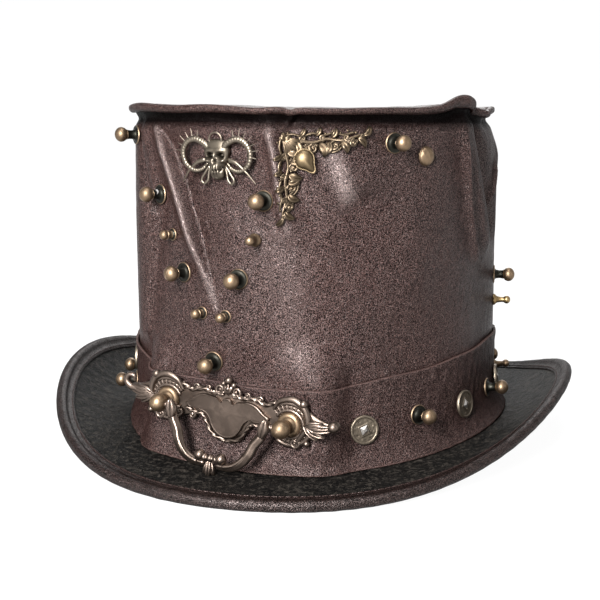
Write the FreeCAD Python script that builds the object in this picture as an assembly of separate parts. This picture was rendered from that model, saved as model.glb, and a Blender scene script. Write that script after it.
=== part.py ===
"""Leather top hat with brass and bronze hardware, as a bench-assembled set of separate pieces.

Millimetres. +Z is up and -Y is the front of the hat. The origin is centred under the head
opening, on the surface that the brim stands on. Positions round the hat are given as an angle
"turn" in degrees from the front, positive towards +X, and a height z.
"""

import FreeCAD
import Part

import functools
import math
import os

Vec = FreeCAD.Vector

# ---- driving dimensions -------------------------------------------------------------------
CROWN_HALF_WIDTH = 89.0      # outside of the leather wall, across the head
CROWN_HALF_LENGTH = 103.0    # outside of the leather wall, front to back
CROWN_TOP = 160.0            # top face of the tip
ARC_PER_DEGREE = 1.62        # wall length per degree of turn near the front

BRIM_HALF_WIDTH = 128.3      # outer edge of the binding
BRIM_HALF_LENGTH = 148.0
BRIM_ROOT_MEAN = 5.1         # middle of the brim where it meets the crown
BRIM_ROOT_RISE = 3.1         # sides higher and front lower than the mean by this much
BRIM_ROOT_GAP = 0.35         # air between the brim's inner edge and the stiffener
BRIM_EDGE_MEAN = 13.5        # middle of the brim at its outer edge
BRIM_EDGE_RISE = 15.05
BRIM_EDGE_SHARPEN = 3.65     # gathers the side curl towards the ears
BRIM_CURL_POWER = 2.2        # how late across its width the brim turns up

LEATHER = 1.2
STIFFENER = 1.2
LINING = 0.5
LAYER_GAP = 0.08             # air between neighbouring sheets
WALL_GAP = 0.2                # air between the leather wall and its stiffener
LINING_GAP = 0.5              # air between the stiffener and the lining
FOOT_FLARE = 7.4             # the wall's foot spreads over the brim by this much
FOOT_FLARE_FADE = 6.5

BAND_TOP_MEAN = 44.1
BAND_TOP_RISE = 4.7
SWEATBAND_HEIGHT = 38.0
SWEATBAND_INSET = 5.2        # sweatband's outer face, in from the wall's outer face
NUT_BULGE = 5.6              # further in over the pull's nuts

PLUSH = 0.6
BOARD = 1.0
UNDERSIDE = 0.5
BINDING = 0.75
BINDING_LEG = 9.0            # width of the leather folded over each side of the edge
WIRE_RADIUS = 0.7

WELT_HEIGHT = 5.6
WELT_DEPTH = 4.4

# Each fold is a segment from (turn, z) to (turn, z), with a half width and a height, in mm.
FOLDS = [
    (-52, 154, -13, 73, 4.0, 2.6),     # long diagonal ridge
    (-45, 152, -8, 80, 7.0, -2.6),     # valley above it
    (-20, 128, -6, 122, 13.0, -1.6),   # flat under the charm
    (3, 152, 9, 108, 5.5, 2.2),        # upright roll beside the corner mount
    (13, 136, 21, 110, 6.0, 1.0),      # soft roll below the corner mount
    (-44, 147, -39, 112, 4.5, 2.0),    # left-hand edge of the front panel
    (-39, 112, -44, 58, 4.5, 2.0),
    (-51, 147, -46, 112, 5.5, -3.6),   # groove behind that edge
    (-46, 112, -51, 60, 5.5, -3.6),
    (62, 154, 77, 98, 6.0, 2.4),       # right-hand fold
    (70, 156, 85, 104, 5.5, -4.6),
    (84, 160, 104, 156, 14.0, -5.0),   # crushed top corner
    (42, 62, 74, 70, 16.0, -1.5),      # shallow sag at the right
    (150, 120, 170, 70, 15.0, -2.4),   # slump at the back
    (-120, 130, -150, 80, 13.0, -2.6),
    (-100, 150, -128, 96, 6.0, 2.0),
    (125, 150, 140, 90, 6.0, 2.0),
]

# Pull: flat plate on the front of the band
PULL_TURN = -8.9
PULL_FACING = -10.4          # direction the plate faces, degrees from the front
PULL_Z = 28.2
PULL_TILT = 4.8              # right-hand end lower
PLATE_THICKNESS = 2.2
PLATE_SINK = 2.0             # the plate presses the leather in by this much at its middle
PLATE_STAND_OFF = 0.9
PRESS_CLEARANCE = 0.06       # between the plate and the band it is pressed into
POST_HALF_SPACING = 30.0
POST_HOLE_RADIUS = 2.05
PIVOT_OUT = 10.5             # bail pivot line, out from the back of the plate
BAIL_PIN_RADIUS = 1.0
BAIL_PIN_CLEARANCE = 0.06
BAIL_DROP = 24.5

# Round hardware, as (turn, z)
CROWN_BALL_STUDS = [
    (-56.0, 146.0), (-34.5, 120.3), (1.5, 119.6), (-24.6, 86.9), (-5.9, 86.1), (-14.4, 48.9),
    (36.9, 143.6), (95.0, 77.1),
]
BAND_BALL_STUDS = [(-60.0, 26.5), (45.1, 24.3), (79.0, 25.5)]
SMALL_STUDS = [(-29.3, 103.0), (-17.8, 70.0), (-10.0, 69.5)]
SPOOL_STUDS = [(-1.0, 103.1), (95.0, 64.2), (104.0, 27.0)]
COIN_BUTTONS = [(28.5, 21.0), (63.2, 23.6), (92.0, 25.4), (-70.0, 34.0)]
DOME_RIVET = (47.0, 137.9)
REAR_STUD_TURNS = [120, 152, 184, 216, 248, 280]
REAR_COIN_TURNS = [136, 168, 200, 232, 264]
REAR_Z = 25.5

GRID_TURNS = 72
GRID_HEIGHTS = 36


# ---- the hat's shape ----------------------------------------------------------------------
def sind(a):
    return math.sin(math.radians(a))


def cosd(a):
    return math.cos(math.radians(a))


def outward(turn):
    """Level direction square to the crown's oval at this turn."""
    return Vec(sind(turn) / CROWN_HALF_WIDTH, -cosd(turn) / CROWN_HALF_LENGTH, 0).normalize()


def wrap(turn):
    return (turn + 180.0) % 360.0 - 180.0


def fold_height(turn, z):
    """How far the folds move the wall out, at this turn and height."""
    total = 0.0
    for turn0, z0, turn1, z1, width, height in FOLDS:
        along_s, along_z = (turn1 - turn0) * ARC_PER_DEGREE, z1 - z0
        s, dz = wrap(turn - turn0) * ARC_PER_DEGREE, z - z0
        length2 = along_s**2 + along_z**2
        share = min(1.0, max(0.0, (s * along_s + dz * along_z) / length2))
        gap2 = (s - share * along_s) ** 2 + (dz - share * along_z) ** 2
        total += height * math.exp(-gap2 / width**2)
    return total


def fade(x, full, none):
    """1 up to full, falling smoothly to 0 at none."""
    share = min(1.0, max(0.0, (x - full) / (none - full)))
    return 1 - share * share * (3 - 2 * share)


@functools.lru_cache(maxsize=None)
def pull_middle():
    """Middle of the back of the plate."""
    base = oval_point(PULL_TURN, 0)
    return base + outward(PULL_TURN) * (LEATHER + 2 * LAYER_GAP - PLATE_SINK) + Vec(0, 0, PULL_Z)


def oval_point(turn, offset):
    base = Vec(CROWN_HALF_WIDTH * sind(turn), -CROWN_HALF_LENGTH * cosd(turn), 0)
    return base + outward(turn) * offset


def plate_push(turn, z):
    """How far the rigid plate of the pull flattens the leather behind it."""
    facing = Vec(sind(PULL_FACING), -cosd(PULL_FACING), 0)
    middle = pull_middle()
    there = oval_point(turn, LEATHER + 2 * LAYER_GAP)
    reach = abs((there - middle).cross(facing).z)
    if reach > 60 or outward(turn).dot(facing) < 0.2:
        return 0.0
    short = (middle - there).dot(facing) / outward(turn).dot(facing)
    return short * fade(reach, 33, 52) * fade(abs(z - PULL_Z), 13, 34)


def brim_top(turn, share):
    """Height of the brim's top face, so far across it."""
    return brim_point(turn, share, BOARD / 2 + PLUSH).z


@functools.lru_cache(maxsize=None)
def foot(turn):
    """Lowest height of the wall, just clear of the brim's top face."""
    return brim_top(turn, 0.21) + 0.5


def flare(turn, z):
    return FOOT_FLARE * math.exp(-max(0.0, z - foot(turn)) / FOOT_FLARE_FADE)


def wall_offset(turn, z):
    """Wall's outer face, out from the plain oval."""
    return fold_height(turn, z) + plate_push(turn, z)


def wall_point(turn, z, inset, flared=True):
    spread = flare(turn, z) if flared else 0.0
    point = oval_point(turn, wall_offset(turn, z) + spread - inset)
    point.z = z
    return point


def brim_middle(turn, share):
    """Point on the brim's middle sheet, from the crown at share 0 to its outer edge at 1."""
    root_z = BRIM_ROOT_MEAN - BRIM_ROOT_RISE * cosd(2 * turn)
    root = oval_point(turn, wall_offset(turn, root_z) - LEATHER + BRIM_ROOT_GAP)
    edge = Vec(BRIM_HALF_WIDTH * sind(turn), -BRIM_HALF_LENGTH * cosd(turn), 0)
    root.z = root_z
    edge.z = BRIM_EDGE_MEAN - BRIM_EDGE_RISE * cosd(2 * turn) + BRIM_EDGE_SHARPEN * cosd(4 * turn)
    point = root + (edge - root) * share
    point.z = root.z + (edge.z - root.z) * share**BRIM_CURL_POWER
    return point


def brim_axes(turn, share):
    """Upward normal and inward direction of the brim's middle sheet."""
    low, high = max(0.0, share - 0.01), min(1.0, share + 0.01)
    across = (brim_middle(turn, high) - brim_middle(turn, low)).normalize()
    around = brim_middle(turn + 0.5, share) - brim_middle(turn - 0.5, share)
    return around.cross(across).normalize() * -1, across * -1


def brim_point(turn, share, height):
    up, _ = brim_axes(turn, share)
    return brim_middle(turn, share) + up * height


def edge_point(turn, inward, height):
    """Point near the brim's edge, so far in from the edge and so far above the middle sheet."""
    width = (brim_middle(turn, 1.0) - brim_middle(turn, 0.9)).Length * 10
    up, _ = brim_axes(turn, 1 - inward / width)
    return brim_middle(turn, 1 - inward / width) + up * height


# ---- solids from nets of poles -------------------------------------------------------------
def knots(count, degree, periodic):
    if periodic:
        return [1] * (count + 1), [float(k) for k in range(count + 1)]
    inner = count - degree - 1
    mults = [degree + 1] + [1] * inner + [degree + 1]
    return mults, [float(k) for k in range(inner + 2)]


def net_surface(net, periodic_v=False):
    """B-spline surface over a net of poles, closed round the hat."""
    degree_v = min(3, len(net[0]) - 1)
    mults_u, knots_u = knots(len(net), 3, True)
    mults_v, knots_v = knots(len(net[0]), degree_v, periodic_v)
    surface = Part.BSplineSurface()
    surface.buildFromPolesMultsKnots(
        net, mults_u, mults_v, knots_u, knots_v, True, periodic_v, 3, degree_v
    )
    return surface


def turns(count=GRID_TURNS):
    return [360.0 * k / count for k in range(count)]


def solid_of(faces):
    shell = Part.makeShell(faces)
    shell.sewShape()
    solid = Part.makeSolid(Part.Shell(shell.Faces))
    if solid.Volume < 0:
        solid.reverse()
    return solid


def ring_solid(outer, inner):
    """Closed solid between two nets that run round the hat."""
    a, b = net_surface(outer), net_surface(inner)
    faces = [a.toShape(), b.toShape()]
    _, _, low, high = a.bounds()
    for v in (low, high):
        faces.append(Part.makeRuledSurface(a.vIso(v).toShape(), b.vIso(v).toShape()))
    return solid_of(faces)


def torus_solid(net):
    return solid_of([net_surface(net, True).toShape()])


def wall_net(inset, bottom, top, flared=True, count=GRID_HEIGHTS):
    """Net on the wall's shape, from bottom(turn) to top(turn). Rows crowd towards the foot."""
    net = []
    for turn in turns():
        low, high = bottom(turn), top(turn)
        column = []
        for k in range(count):
            share = (k / (count - 1)) ** 1.35
            column.append(wall_point(turn, low + (high - low) * share, inset, flared))
        net.append(column)
    return net


def wall_ring(outer_inset, inner_inset, bottom, top, flared=True, count=GRID_HEIGHTS):
    return ring_solid(
        wall_net(outer_inset, bottom, top, flared, count),
        wall_net(inner_inset, bottom, top, flared, count),
    )


def wall_disc(inset, low, thickness):
    """Flat sheet with the crown's outline at the tip."""
    poles = [wall_point(turn, low, inset, False) for turn in turns()]
    mults, marks = knots(len(poles), 3, True)
    curve = Part.BSplineCurve()
    curve.buildFromPolesMultsKnots(poles, mults, marks, True, 3)
    face = Part.Face(Part.Wire([curve.toShape()]))
    return face.extrude(Vec(0, 0, thickness))


def brim_ring(top_height, bottom_height, edge_gap, root_gap=0.0):
    nets = []
    for height in (top_height, bottom_height):
        net = []
        for turn in turns():
            width = (brim_middle(turn, 1) - brim_middle(turn, 0.9)).Length * 10
            first, last = root_gap / width, 1 - edge_gap / width
            column = [brim_point(turn, first + (last - first) * k / 9, height) for k in range(10)]
            net.append(column)
        nets.append(net)
    return ring_solid(*nets)


# ---- leather, lining and brim --------------------------------------------------------------
def crown_wall():
    return wall_ring(0, LEATHER, foot, lambda turn: CROWN_TOP - 1.6)


def crown_stiffener():
    inset = LEATHER + WALL_GAP
    bottom = lambda turn: brim_point(turn, 0, -BOARD / 2 - UNDERSIDE).z
    return wall_ring(inset, inset + STIFFENER, bottom, lambda turn: CROWN_TOP - 3.2, False)


def lining_side():
    inset = LEATHER + STIFFENER + WALL_GAP + LINING_GAP
    top = CROWN_TOP - 6.0
    return wall_ring(inset, inset + LINING, lambda turn: 16.0, lambda turn: top, False)


TIP_INSET = LEATHER + STIFFENER + 2 * WALL_GAP + LINING_GAP + 0.45


def lining_tip():
    return wall_disc(TIP_INSET, CROWN_TOP - 5.8, LINING)


def tip_stiffener():
    return wall_disc(TIP_INSET, CROWN_TOP - 5.1, 1.6)


def tip_leather():
    return wall_disc(0.1, CROWN_TOP - 1.4, 1.4)


def tip_welt():
    """Turned edge of leather round the tip, fat at the top and tucked in below."""
    section = [(0.7, -0.55), (2.6, -0.4), (4.4, -1.4), (4.3, -3.2), (2.9, -5.0), (0.7, -6.2)]
    scale_out, scale_down = WELT_DEPTH / 4.4, WELT_HEIGHT / 5.6
    net = []
    for turn in turns():
        column = []
        for out, down in section:
            point = wall_point(turn, CROWN_TOP - 2, -out * scale_out, False)
            point.z = CROWN_TOP + down * scale_down
            column.append(point)
        net.append(column)
    return torus_solid(net)


def band_top(turn):
    return BAND_TOP_MEAN - BAND_TOP_RISE * cosd(2 * turn)


def hat_band():
    bottom = lambda turn: brim_top(turn, 0.24) + 0.6
    return wall_ring(-LEATHER - LAYER_GAP, -LAYER_GAP, bottom, band_top, True, 16)


def sweatband():
    """Leather strip inside the head opening, which passes over the pull's nuts."""
    nets = []
    for thickness in (0.0, LEATHER):
        net = []
        for turn in turns():
            over_nuts = NUT_BULGE * fade(abs(wrap(turn - PULL_TURN)), 27, 42)
            low = brim_point(turn, 0, -BOARD / 2 - UNDERSIDE).z - 0.2
            inset = SWEATBAND_INSET + over_nuts + thickness
            heights = [low + (SWEATBAND_HEIGHT - low) * k / 9 for k in range(10)]
            net.append([wall_point(turn, z, inset, False) for z in heights])
        nets.append(net)
    return ring_solid(*nets)


def brim_board():
    return brim_ring(BOARD / 2, -BOARD / 2, 3.4)


def brim_plush():
    return brim_ring(BOARD / 2 + LAYER_GAP / 2 + PLUSH, BOARD / 2 + LAYER_GAP / 2, 3.4)


def brim_underside():
    top = -BOARD / 2 - LAYER_GAP / 2
    return brim_ring(top, top - UNDERSIDE, 3.4)


def brim_wire():
    net = []
    for turn in turns():
        column = []
        for k in range(6):
            angle = 60 * k
            radius = WIRE_RADIUS * 1.2
            column.append(edge_point(turn, 2.3 + radius * cosd(angle), radius * sind(angle)))
        net.append(column)
    return torus_solid(net)


def brim_binding():
    """Leather strip folded round the edge: a leg on each face, joined by a round turn."""
    inner_half = BOARD / 2 + PLUSH + 2 * LAYER_GAP
    outer_half = inner_half + BINDING
    nets = []
    for half, nose in ((outer_half, 0.0), (inner_half, BINDING)):
        section = [(BINDING_LEG, half), (6.0, half), (3.4, half), (nose + 0.6, half * 0.95)]
        section += [(nose, half * 0.45), (nose, -half * 0.45)]
        section += [(nose + 0.6, -half * 0.95), (3.4, -half), (6.0, -half), (BINDING_LEG, -half)]
        nets.append([[edge_point(turn, *p) for p in section] for turn in turns()])
    return ring_solid(*nets)


# ---- fasteners -------------------------------------------------------------------------------
def spun(outline):
    """Solid of revolution about Z from edges that run from the axis back to the axis."""
    wire = Part.Wire(outline)
    closing = Part.LineSegment(wire.OrderedVertexes[-1].Point, wire.OrderedVertexes[0].Point)
    face = Part.Face(Part.Wire(list(wire.OrderedEdges) + [closing.toShape()]))
    solid = face.revolve(Vec(0, 0, 0), Vec(0, 0, 1), 360)
    if solid.Volume < 0:
        solid.reverse()
    return solid


def line(r0, h0, r1, h1):
    return Part.LineSegment(Vec(r0, 0, h0), Vec(r1, 0, h1)).toShape()


def arc(r0, h0, rm, hm, r1, h1):
    return Part.Arc(Vec(r0, 0, h0), Vec(rm, 0, hm), Vec(r1, 0, h1)).toShape()


TIP_FLAT = 0.15              # every turned head ends in a small flat at its tip


def head_arc(centre, radius, half_height, neck):
    """Outline of an oblate head, from the neck's radius over the side to the flat at the tip."""
    ellipse = Part.Ellipse(Vec(0, 0, centre), radius, half_height)
    ellipse.Axis = Vec(0, -1, 0)
    ellipse.XAxis = Vec(1, 0, 0)
    start, end = -math.acos(neck / radius), math.acos(TIP_FLAT / radius)
    return Part.ArcOfEllipse(ellipse, start, end).toShape()


SCREW_RADIUS = 1.2
SCREW_HEAD_RADIUS = 2.9
SHANK_BITE = 3.0             # screw's reach into its stud


def ball_stud(flange, flange_edge, neck, head, head_half, length):
    """Round-headed stud with a flange, open at the back for its screw."""
    centre = length - head_half
    joint = centre - head_half * math.sin(math.acos(neck / head))
    tip = centre + head_half * math.sin(math.acos(TIP_FLAT / head))
    bore = SCREW_RADIUS + 0.1
    return spun([
        line(bore, SHANK_BITE + 0.4, bore, 0),
        line(bore, 0, flange, 0),
        line(flange, 0, flange, flange_edge),
        arc(flange, flange_edge, (flange + neck) / 2, flange_edge * 1.5, neck, flange_edge * 2.4),
        line(neck, flange_edge * 2.4, neck, joint),
        head_arc(centre, head, head_half, neck),
        line(TIP_FLAT, tip, 0, tip),
        line(0, tip, 0, SHANK_BITE + 0.4),
    ])


# Flange radius and edge, neck radius, head radius and half height, and length
LARGE_STUD = (4.5, 0.6, 2.1, 3.7, 2.9, 10.0)
SMALL_STUD = (2.8, 0.5, 1.7, 2.15, 1.9, 6.8)
SPOOL_BASE = 2.7
DOME_RADIUS = 4.3


def spool_stud():
    bore = SCREW_RADIUS + 0.1
    return spun([
        line(bore, SHANK_BITE + 0.4, bore, 0),
        line(bore, 0, 2.5, 0),
        arc(2.5, 0, 2.9, 0.8, 2.4, 1.6),
        arc(2.4, 1.6, 1.5, 4.2, 1.25, 6.4),
        arc(1.25, 6.4, 2.0, 7.2, 1.5, 8.6),
        arc(1.5, 8.6, 0.8, 8.85, TIP_FLAT, 8.9),
        line(TIP_FLAT, 8.9, 0, 8.9),
        line(0, 8.9, 0, SHANK_BITE + 0.4),
    ])


def dome_rivet(depth):
    return spun([
        line(0, -depth - 1.0, 1.2, -depth - 1.0),
        line(1.2, -depth - 1.0, 1.2, 0),
        line(1.2, 0, DOME_RADIUS, 0),
        arc(DOME_RADIUS, 0, 3.3, 1.75, TIP_FLAT, 2.7),
        line(TIP_FLAT, 2.7, 0, 2.7),
    ])


def rivet_cap(depth):
    """Cap pressed over the rivet's tail, inside the hat."""
    return spun([
        line(1.3, -depth, 3.0, -depth),
        line(3.0, -depth, 3.0, -depth - 0.5),
        arc(3.0, -depth - 0.5, 1.8, -depth - 1.2, TIP_FLAT, -depth - 1.5),
        line(TIP_FLAT, -depth - 1.5, 0, -depth - 1.5),
        line(0, -depth - 1.5, 0, -depth - 1.1),
        line(0, -depth - 1.1, 1.3, -depth - 1.1),
    ])


def screw(under):
    """Screw from inside the hat: head against the lining, shank up into the stud."""
    return spun([
        line(0, under - 1.0, 1.6, under - 1.0),
        arc(1.6, under - 1.0, 2.6, under - 0.8, SCREW_HEAD_RADIUS, under),
        line(SCREW_HEAD_RADIUS, under, SCREW_RADIUS, under),
        line(SCREW_RADIUS, under, SCREW_RADIUS, SHANK_BITE),
        line(SCREW_RADIUS, SHANK_BITE, 0, SHANK_BITE),
    ])


COIN_RADIUS = 6.4
COIN_HOLE = 3.8


def coin():
    """Holed disc with a raised rim and a raised square round its hole."""
    body = spun([
        line(0, 0, COIN_RADIUS, 0),
        line(COIN_RADIUS, 0, COIN_RADIUS, 1.2),
        line(COIN_RADIUS, 1.2, COIN_RADIUS - 1.1, 1.2),
        line(COIN_RADIUS - 1.1, 1.2, COIN_RADIUS - 1.3, 0.9),
        line(COIN_RADIUS - 1.3, 0.9, 0, 0.9),
    ])
    outer, hole = COIN_HOLE + 1.2, COIN_HOLE
    collar = Part.makeBox(outer, outer, 1.1, Vec(-outer / 2, -outer / 2, 0))
    cut = Part.makeBox(hole, hole, 4, Vec(-hole / 2, -hole / 2, -1))
    return body.fuse(collar).cut(cut).removeSplitter()


def coin_brad(depth):
    """Square-headed brad that holds the coin, with its foot turned over inside the hat."""
    side = COIN_HOLE - 0.3
    head = Part.makeBox(side, side, 1.3, Vec(-side / 2, -side / 2, 0.05))
    top_edges = [e for e in head.Edges if e.CenterOfMass.z > 1.3]
    head = head.makeChamfer(0.45, top_edges)
    shank = Part.makeCylinder(1.0, depth + 0.3, Vec(0, 0, -depth - 0.1))
    foot_disc = Part.makeCylinder(2.4, 0.7, Vec(0, 0, -depth - 0.7))
    return head.fuse(shank).fuse(foot_disc).removeSplitter()


# ---- placing things on the wall ---------------------------------------------------------------
SHANK_HOLE = 1.6
HEAD_HOLE = 3.5              # the lining and stiffener give way under each head inside the hat
INSIDE = LEATHER + STIFFENER + LINING + 2 * WALL_GAP + LINING_GAP


def wall_frame(turn, z, outset):
    """Point on the wall and its outward normal, by differences on the wall's shape."""
    here = wall_point(turn, z, -outset)
    across = wall_point(turn + 0.8, z, -outset) - wall_point(turn - 0.8, z, -outset)
    up = wall_point(turn, z + 1.0, -outset) - wall_point(turn, z - 1.0, -outset)
    return here, across.cross(up).normalize()


def outset_at(turn, z):
    """Thickness of the band, where there is band."""
    return LEATHER + LAYER_GAP if z < band_top(turn) + 2 else 0.0


def seat_lift(turn, z, outset, radius):
    """How far a flat flange stands off so that its rim clears the wall."""
    here, normal = wall_frame(turn, z, outset)
    lift = 0.0
    for k in range(12):
        rim_turn = turn + radius * cosd(30 * k) / ARC_PER_DEGREE
        rim = wall_point(rim_turn, z + radius * sind(30 * k), -outset)
        lift = max(lift, (rim - here).dot(normal))
    return lift + 0.12


def seat(turn, z, radius, spin=0.0):
    """Placement of a fastener with +Z along the wall's normal, and the wall's depth below it."""
    outset = outset_at(turn, z)
    here, normal = wall_frame(turn, z, outset)
    lift = seat_lift(turn, z, outset, radius)
    stand = FreeCAD.Rotation(Vec(0, 0, 1), normal).multiply(FreeCAD.Rotation(Vec(0, 0, 1), spin))
    return FreeCAD.Placement(here + normal * lift, stand), lift + outset + INSIDE + 0.2


def placed(shape, place):
    moved = shape.copy()
    moved.Placement = place.multiply(moved.Placement)
    return moved


def plane_placement(point, normal, lift):
    """Placement with +Z along the normal and +X level."""
    across = Vec(0, 0, 1).cross(normal).normalize()
    rise = normal.cross(across)
    base = point + normal * lift
    return FreeCAD.Placement(FreeCAD.Matrix(
        across.x, rise.x, normal.x, base.x,
        across.y, rise.y, normal.y, base.y,
        across.z, rise.z, normal.z, base.z,
    ))


# ---- the pull ---------------------------------------------------------------------------------
def pull_placement():
    """Pull's own frame: x along the plate to the right, y up the plate, z out of the hat."""
    out = Vec(sind(PULL_FACING), -cosd(PULL_FACING), 0)
    level = plane_placement(pull_middle(), out, PLATE_STAND_OFF)
    tilt = FreeCAD.Placement(Vec(0, 0, 0), FreeCAD.Rotation(Vec(0, 0, 1), -PULL_TILT))
    return level.multiply(tilt)


PLATE_HALF_OUTLINE = [
    (0, 11.5), (4.0, 9.6), (6.5, 6.4), (12.5, 7.4), (19.0, 5.8), (24.5, 8.6), (31.0, 9.4),
    (38.0, 7.4), (44.0, 5.4), (49.5, 4.6), (50.0, 1.6), (45.0, -0.8), (39.0, -6.2),
    (31.5, -9.0), (24.0, -6.4), (18.5, -3.2), (13.0, -5.2), (7.5, -11.2), (0, -14.0),
]


def mirrored_outline(half):
    """Points round a shape from its right half, which starts and ends on the middle line."""
    right = [Vec(x, y, 0) for x, y in half]
    left = [Vec(-p.x, p.y, 0) for p in reversed(right[1:-1])]
    return right + left


def plate_slab(low, high, scale=1.0):
    """Slab with the plate's outline, between two heights of the pull's frame."""
    curve = Part.BSplineCurve()
    points = [p * scale for p in mirrored_outline(PLATE_HALF_OUTLINE)]
    curve.interpolate(Points=points, PeriodicFlag=True)
    slab = Part.Face(Part.Wire([curve.toShape()])).extrude(Vec(0, 0, high - low))
    slab.translate(Vec(0, 0, low))
    return slab


def plate_press():
    """Room that the plate presses for itself into the band."""
    return plate_slab(-PRESS_CLEARANCE, 8.0, 1.01)


def backplate():
    plate = plate_slab(0.0, PLATE_THICKNESS)
    for side in (-1, 1):
        hole = Part.makeCylinder(POST_HOLE_RADIUS, 6, Vec(side * POST_HALF_SPACING, 0, -2))
        plate = plate.cut(hole)
    return plate


POST_COLLAR = 5.6
POST_NECK = 2.6
POST_BALL = 4.0
POST_STUD = 1.9
NUT_START = -5.9
NUT_RADIUS = 3.6
NUT_THICKNESS = 1.6
POST_TAIL = NUT_START - NUT_THICKNESS - 0.5


def pull_post(side):
    """Post with a collar on the plate, a ball head, and a threaded tail through the hat."""
    base = PLATE_THICKNESS + 0.05
    joint = PIVOT_OUT - math.sqrt(POST_BALL**2 - POST_NECK**2)
    post = spun([
        line(0, POST_TAIL, POST_STUD, POST_TAIL),
        line(POST_STUD, POST_TAIL, POST_STUD, base),
        line(POST_STUD, base, POST_COLLAR, base),
        arc(POST_COLLAR, base, 4.9, base + 1.3, 3.4, base + 1.6),
        line(3.4, base + 1.6, POST_NECK, base + 2.4),
        line(POST_NECK, base + 2.4, POST_NECK, joint),
        arc(POST_NECK, joint, POST_BALL, PIVOT_OUT, 0, PIVOT_OUT + POST_BALL),
    ])
    socket_radius = BAIL_PIN_RADIUS + BAIL_PIN_CLEARANCE
    socket = Part.makeCylinder(socket_radius, 6, Vec(0, 0, PIVOT_OUT), Vec(-side, 0, 0))
    post = post.cut(socket)
    post.translate(Vec(side * POST_HALF_SPACING, 0, 0))
    return post


def post_nut(side):
    """Round nut on the post's tail, inside the hat."""
    middle = Vec(side * POST_HALF_SPACING, 0, NUT_START - NUT_THICKNESS)
    nut = Part.makeCylinder(NUT_RADIUS, NUT_THICKNESS, middle)
    return nut.cut(Part.makeCylinder(POST_STUD + 0.05, 4, middle - Vec(0, 0, 1)))


BAIL_RADIUS = 1.75
KNUCKLE_OUT = 23.0
KNUCKLE_RADIUS = 2.3
BAIL_SHOULDER = (22.0, -10.0)    # widest part of each arm
BAIL_HEEL = (14.5, -18.6)        # where an arm turns into the bottom run
BAIL_BOTTOM = -21.6


def bail_bar(*points):
    """Round bar along the arc through three points in the bail's plane."""
    path = Part.Arc(*[Vec(x, y, PIVOT_OUT) for x, y in points]).toShape()
    start = path.valueAt(path.FirstParameter)
    ring = Part.Circle(start, path.tangentAt(path.FirstParameter), BAIL_RADIUS).toShape()
    return Part.Wire([path]).makePipeShell([Part.Wire([ring])], True, False)


def bail_handle():
    """Swinging handle: a bowed bar with a pin at each end and a ball-and-leaf middle."""
    heel_x, heel_y = BAIL_HEEL
    handle = bail_bar(BAIL_HEEL, (0, BAIL_BOTTOM), (-heel_x, heel_y))
    for side in (-1, 1):
        shoulder = (side * BAIL_SHOULDER[0], BAIL_SHOULDER[1])
        arm = bail_bar((side * KNUCKLE_OUT, 0), shoulder, (side * heel_x, heel_y))
        bead = Part.makeSphere(BAIL_RADIUS + 0.2, Vec(side * heel_x, heel_y, PIVOT_OUT))
        knuckle = Part.makeSphere(KNUCKLE_RADIUS, Vec(side * KNUCKLE_OUT, 0, PIVOT_OUT))
        pin_start = Vec(side * KNUCKLE_OUT, 0, PIVOT_OUT)
        pin = Part.makeCylinder(BAIL_PIN_RADIUS, 6.0, pin_start, Vec(side, 0, 0))
        knob = Part.makeSphere(2.4, Vec(side * 4.6, BAIL_BOTTOM + 3.2, PIVOT_OUT + 0.7))
        handle = handle.fuse([arm, bead, knuckle, pin, knob])
    leaf_start = Vec(0, BAIL_BOTTOM + 4.5, PIVOT_OUT + 0.4)
    leaf = Part.makeCone(2.3, 0.7, BAIL_DROP + leaf_start.y, leaf_start, Vec(0, -1, 0))
    return handle.fuse(leaf).removeSplitter()


# ---- trim on the crown -------------------------------------------------------------------------
CHARM_TURN = -11.8
CHARM_Z = 138.0
CHARM_THICKNESS = 2.6
CHARM_HALF_OUTLINE = [
    (0, 8.6), (4.2, 7.2), (8.0, 8.4), (14.5, 8.2), (19.4, 3.0), (17.6, -4.4), (19.6, -11.2),
    (16.0, -8.0), (12.5, -6.8), (10.2, -10.6), (7.0, -10.0), (5.4, -7.4), (3.0, -11.4), (0, -12.0),
]


def horned_charm():
    points = mirrored_outline(CHARM_HALF_OUTLINE)
    face = Part.Face(Part.makePolygon(points + [points[0]]))
    charm = face.extrude(Vec(0, 0, CHARM_THICKNESS))
    here, normal = wall_frame(CHARM_TURN, CHARM_Z, 0)
    lift = seat_lift(CHARM_TURN, CHARM_Z, 0, 17.0)
    return placed(charm, plane_placement(here, normal, lift))


CORNER_TURN = 6.0
CORNER_Z = 146.4
CORNER_FACING = 17.0
CORNER_ARM = 37.0
CORNER_WIDTH = 8.0
CORNER_THICKNESS = 0.9
CORNER_GAP = 0.25
BOSS_RADIUS = 3.6
BOSS_TURN = 6.4              # boss, round from the corner and down from it
BOSS_DROP = 9.4


def corner_mount():
    """Stamped corner mount: two arms bent to follow the wall."""
    outer = -CORNER_GAP - CORNER_THICKNESS
    top = CROWN_TOP - 9
    shell = wall_ring(outer, -CORNER_GAP, lambda turn: 96.0, lambda turn: top, False)
    here, _ = wall_frame(CORNER_TURN, CORNER_Z, 0)
    place = plane_placement(here, outward(CORNER_FACING), -20)
    half = CORNER_WIDTH / 2
    outline = [
        (0, 0), (CORNER_ARM * 0.94, 0), (CORNER_ARM * 0.94, -half),
        (CORNER_ARM * 0.55, -CORNER_WIDTH), (CORNER_WIDTH * 1.35, -CORNER_WIDTH * 1.35),
        (CORNER_WIDTH, -CORNER_ARM * 0.55), (half, -CORNER_ARM), (0, -CORNER_ARM), (0, 0),
    ]
    prism = Part.Face(Part.makePolygon([Vec(x, y, 0) for x, y in outline]))
    return shell.common(placed(prism.extrude(Vec(0, 0, 40)), place))


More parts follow.
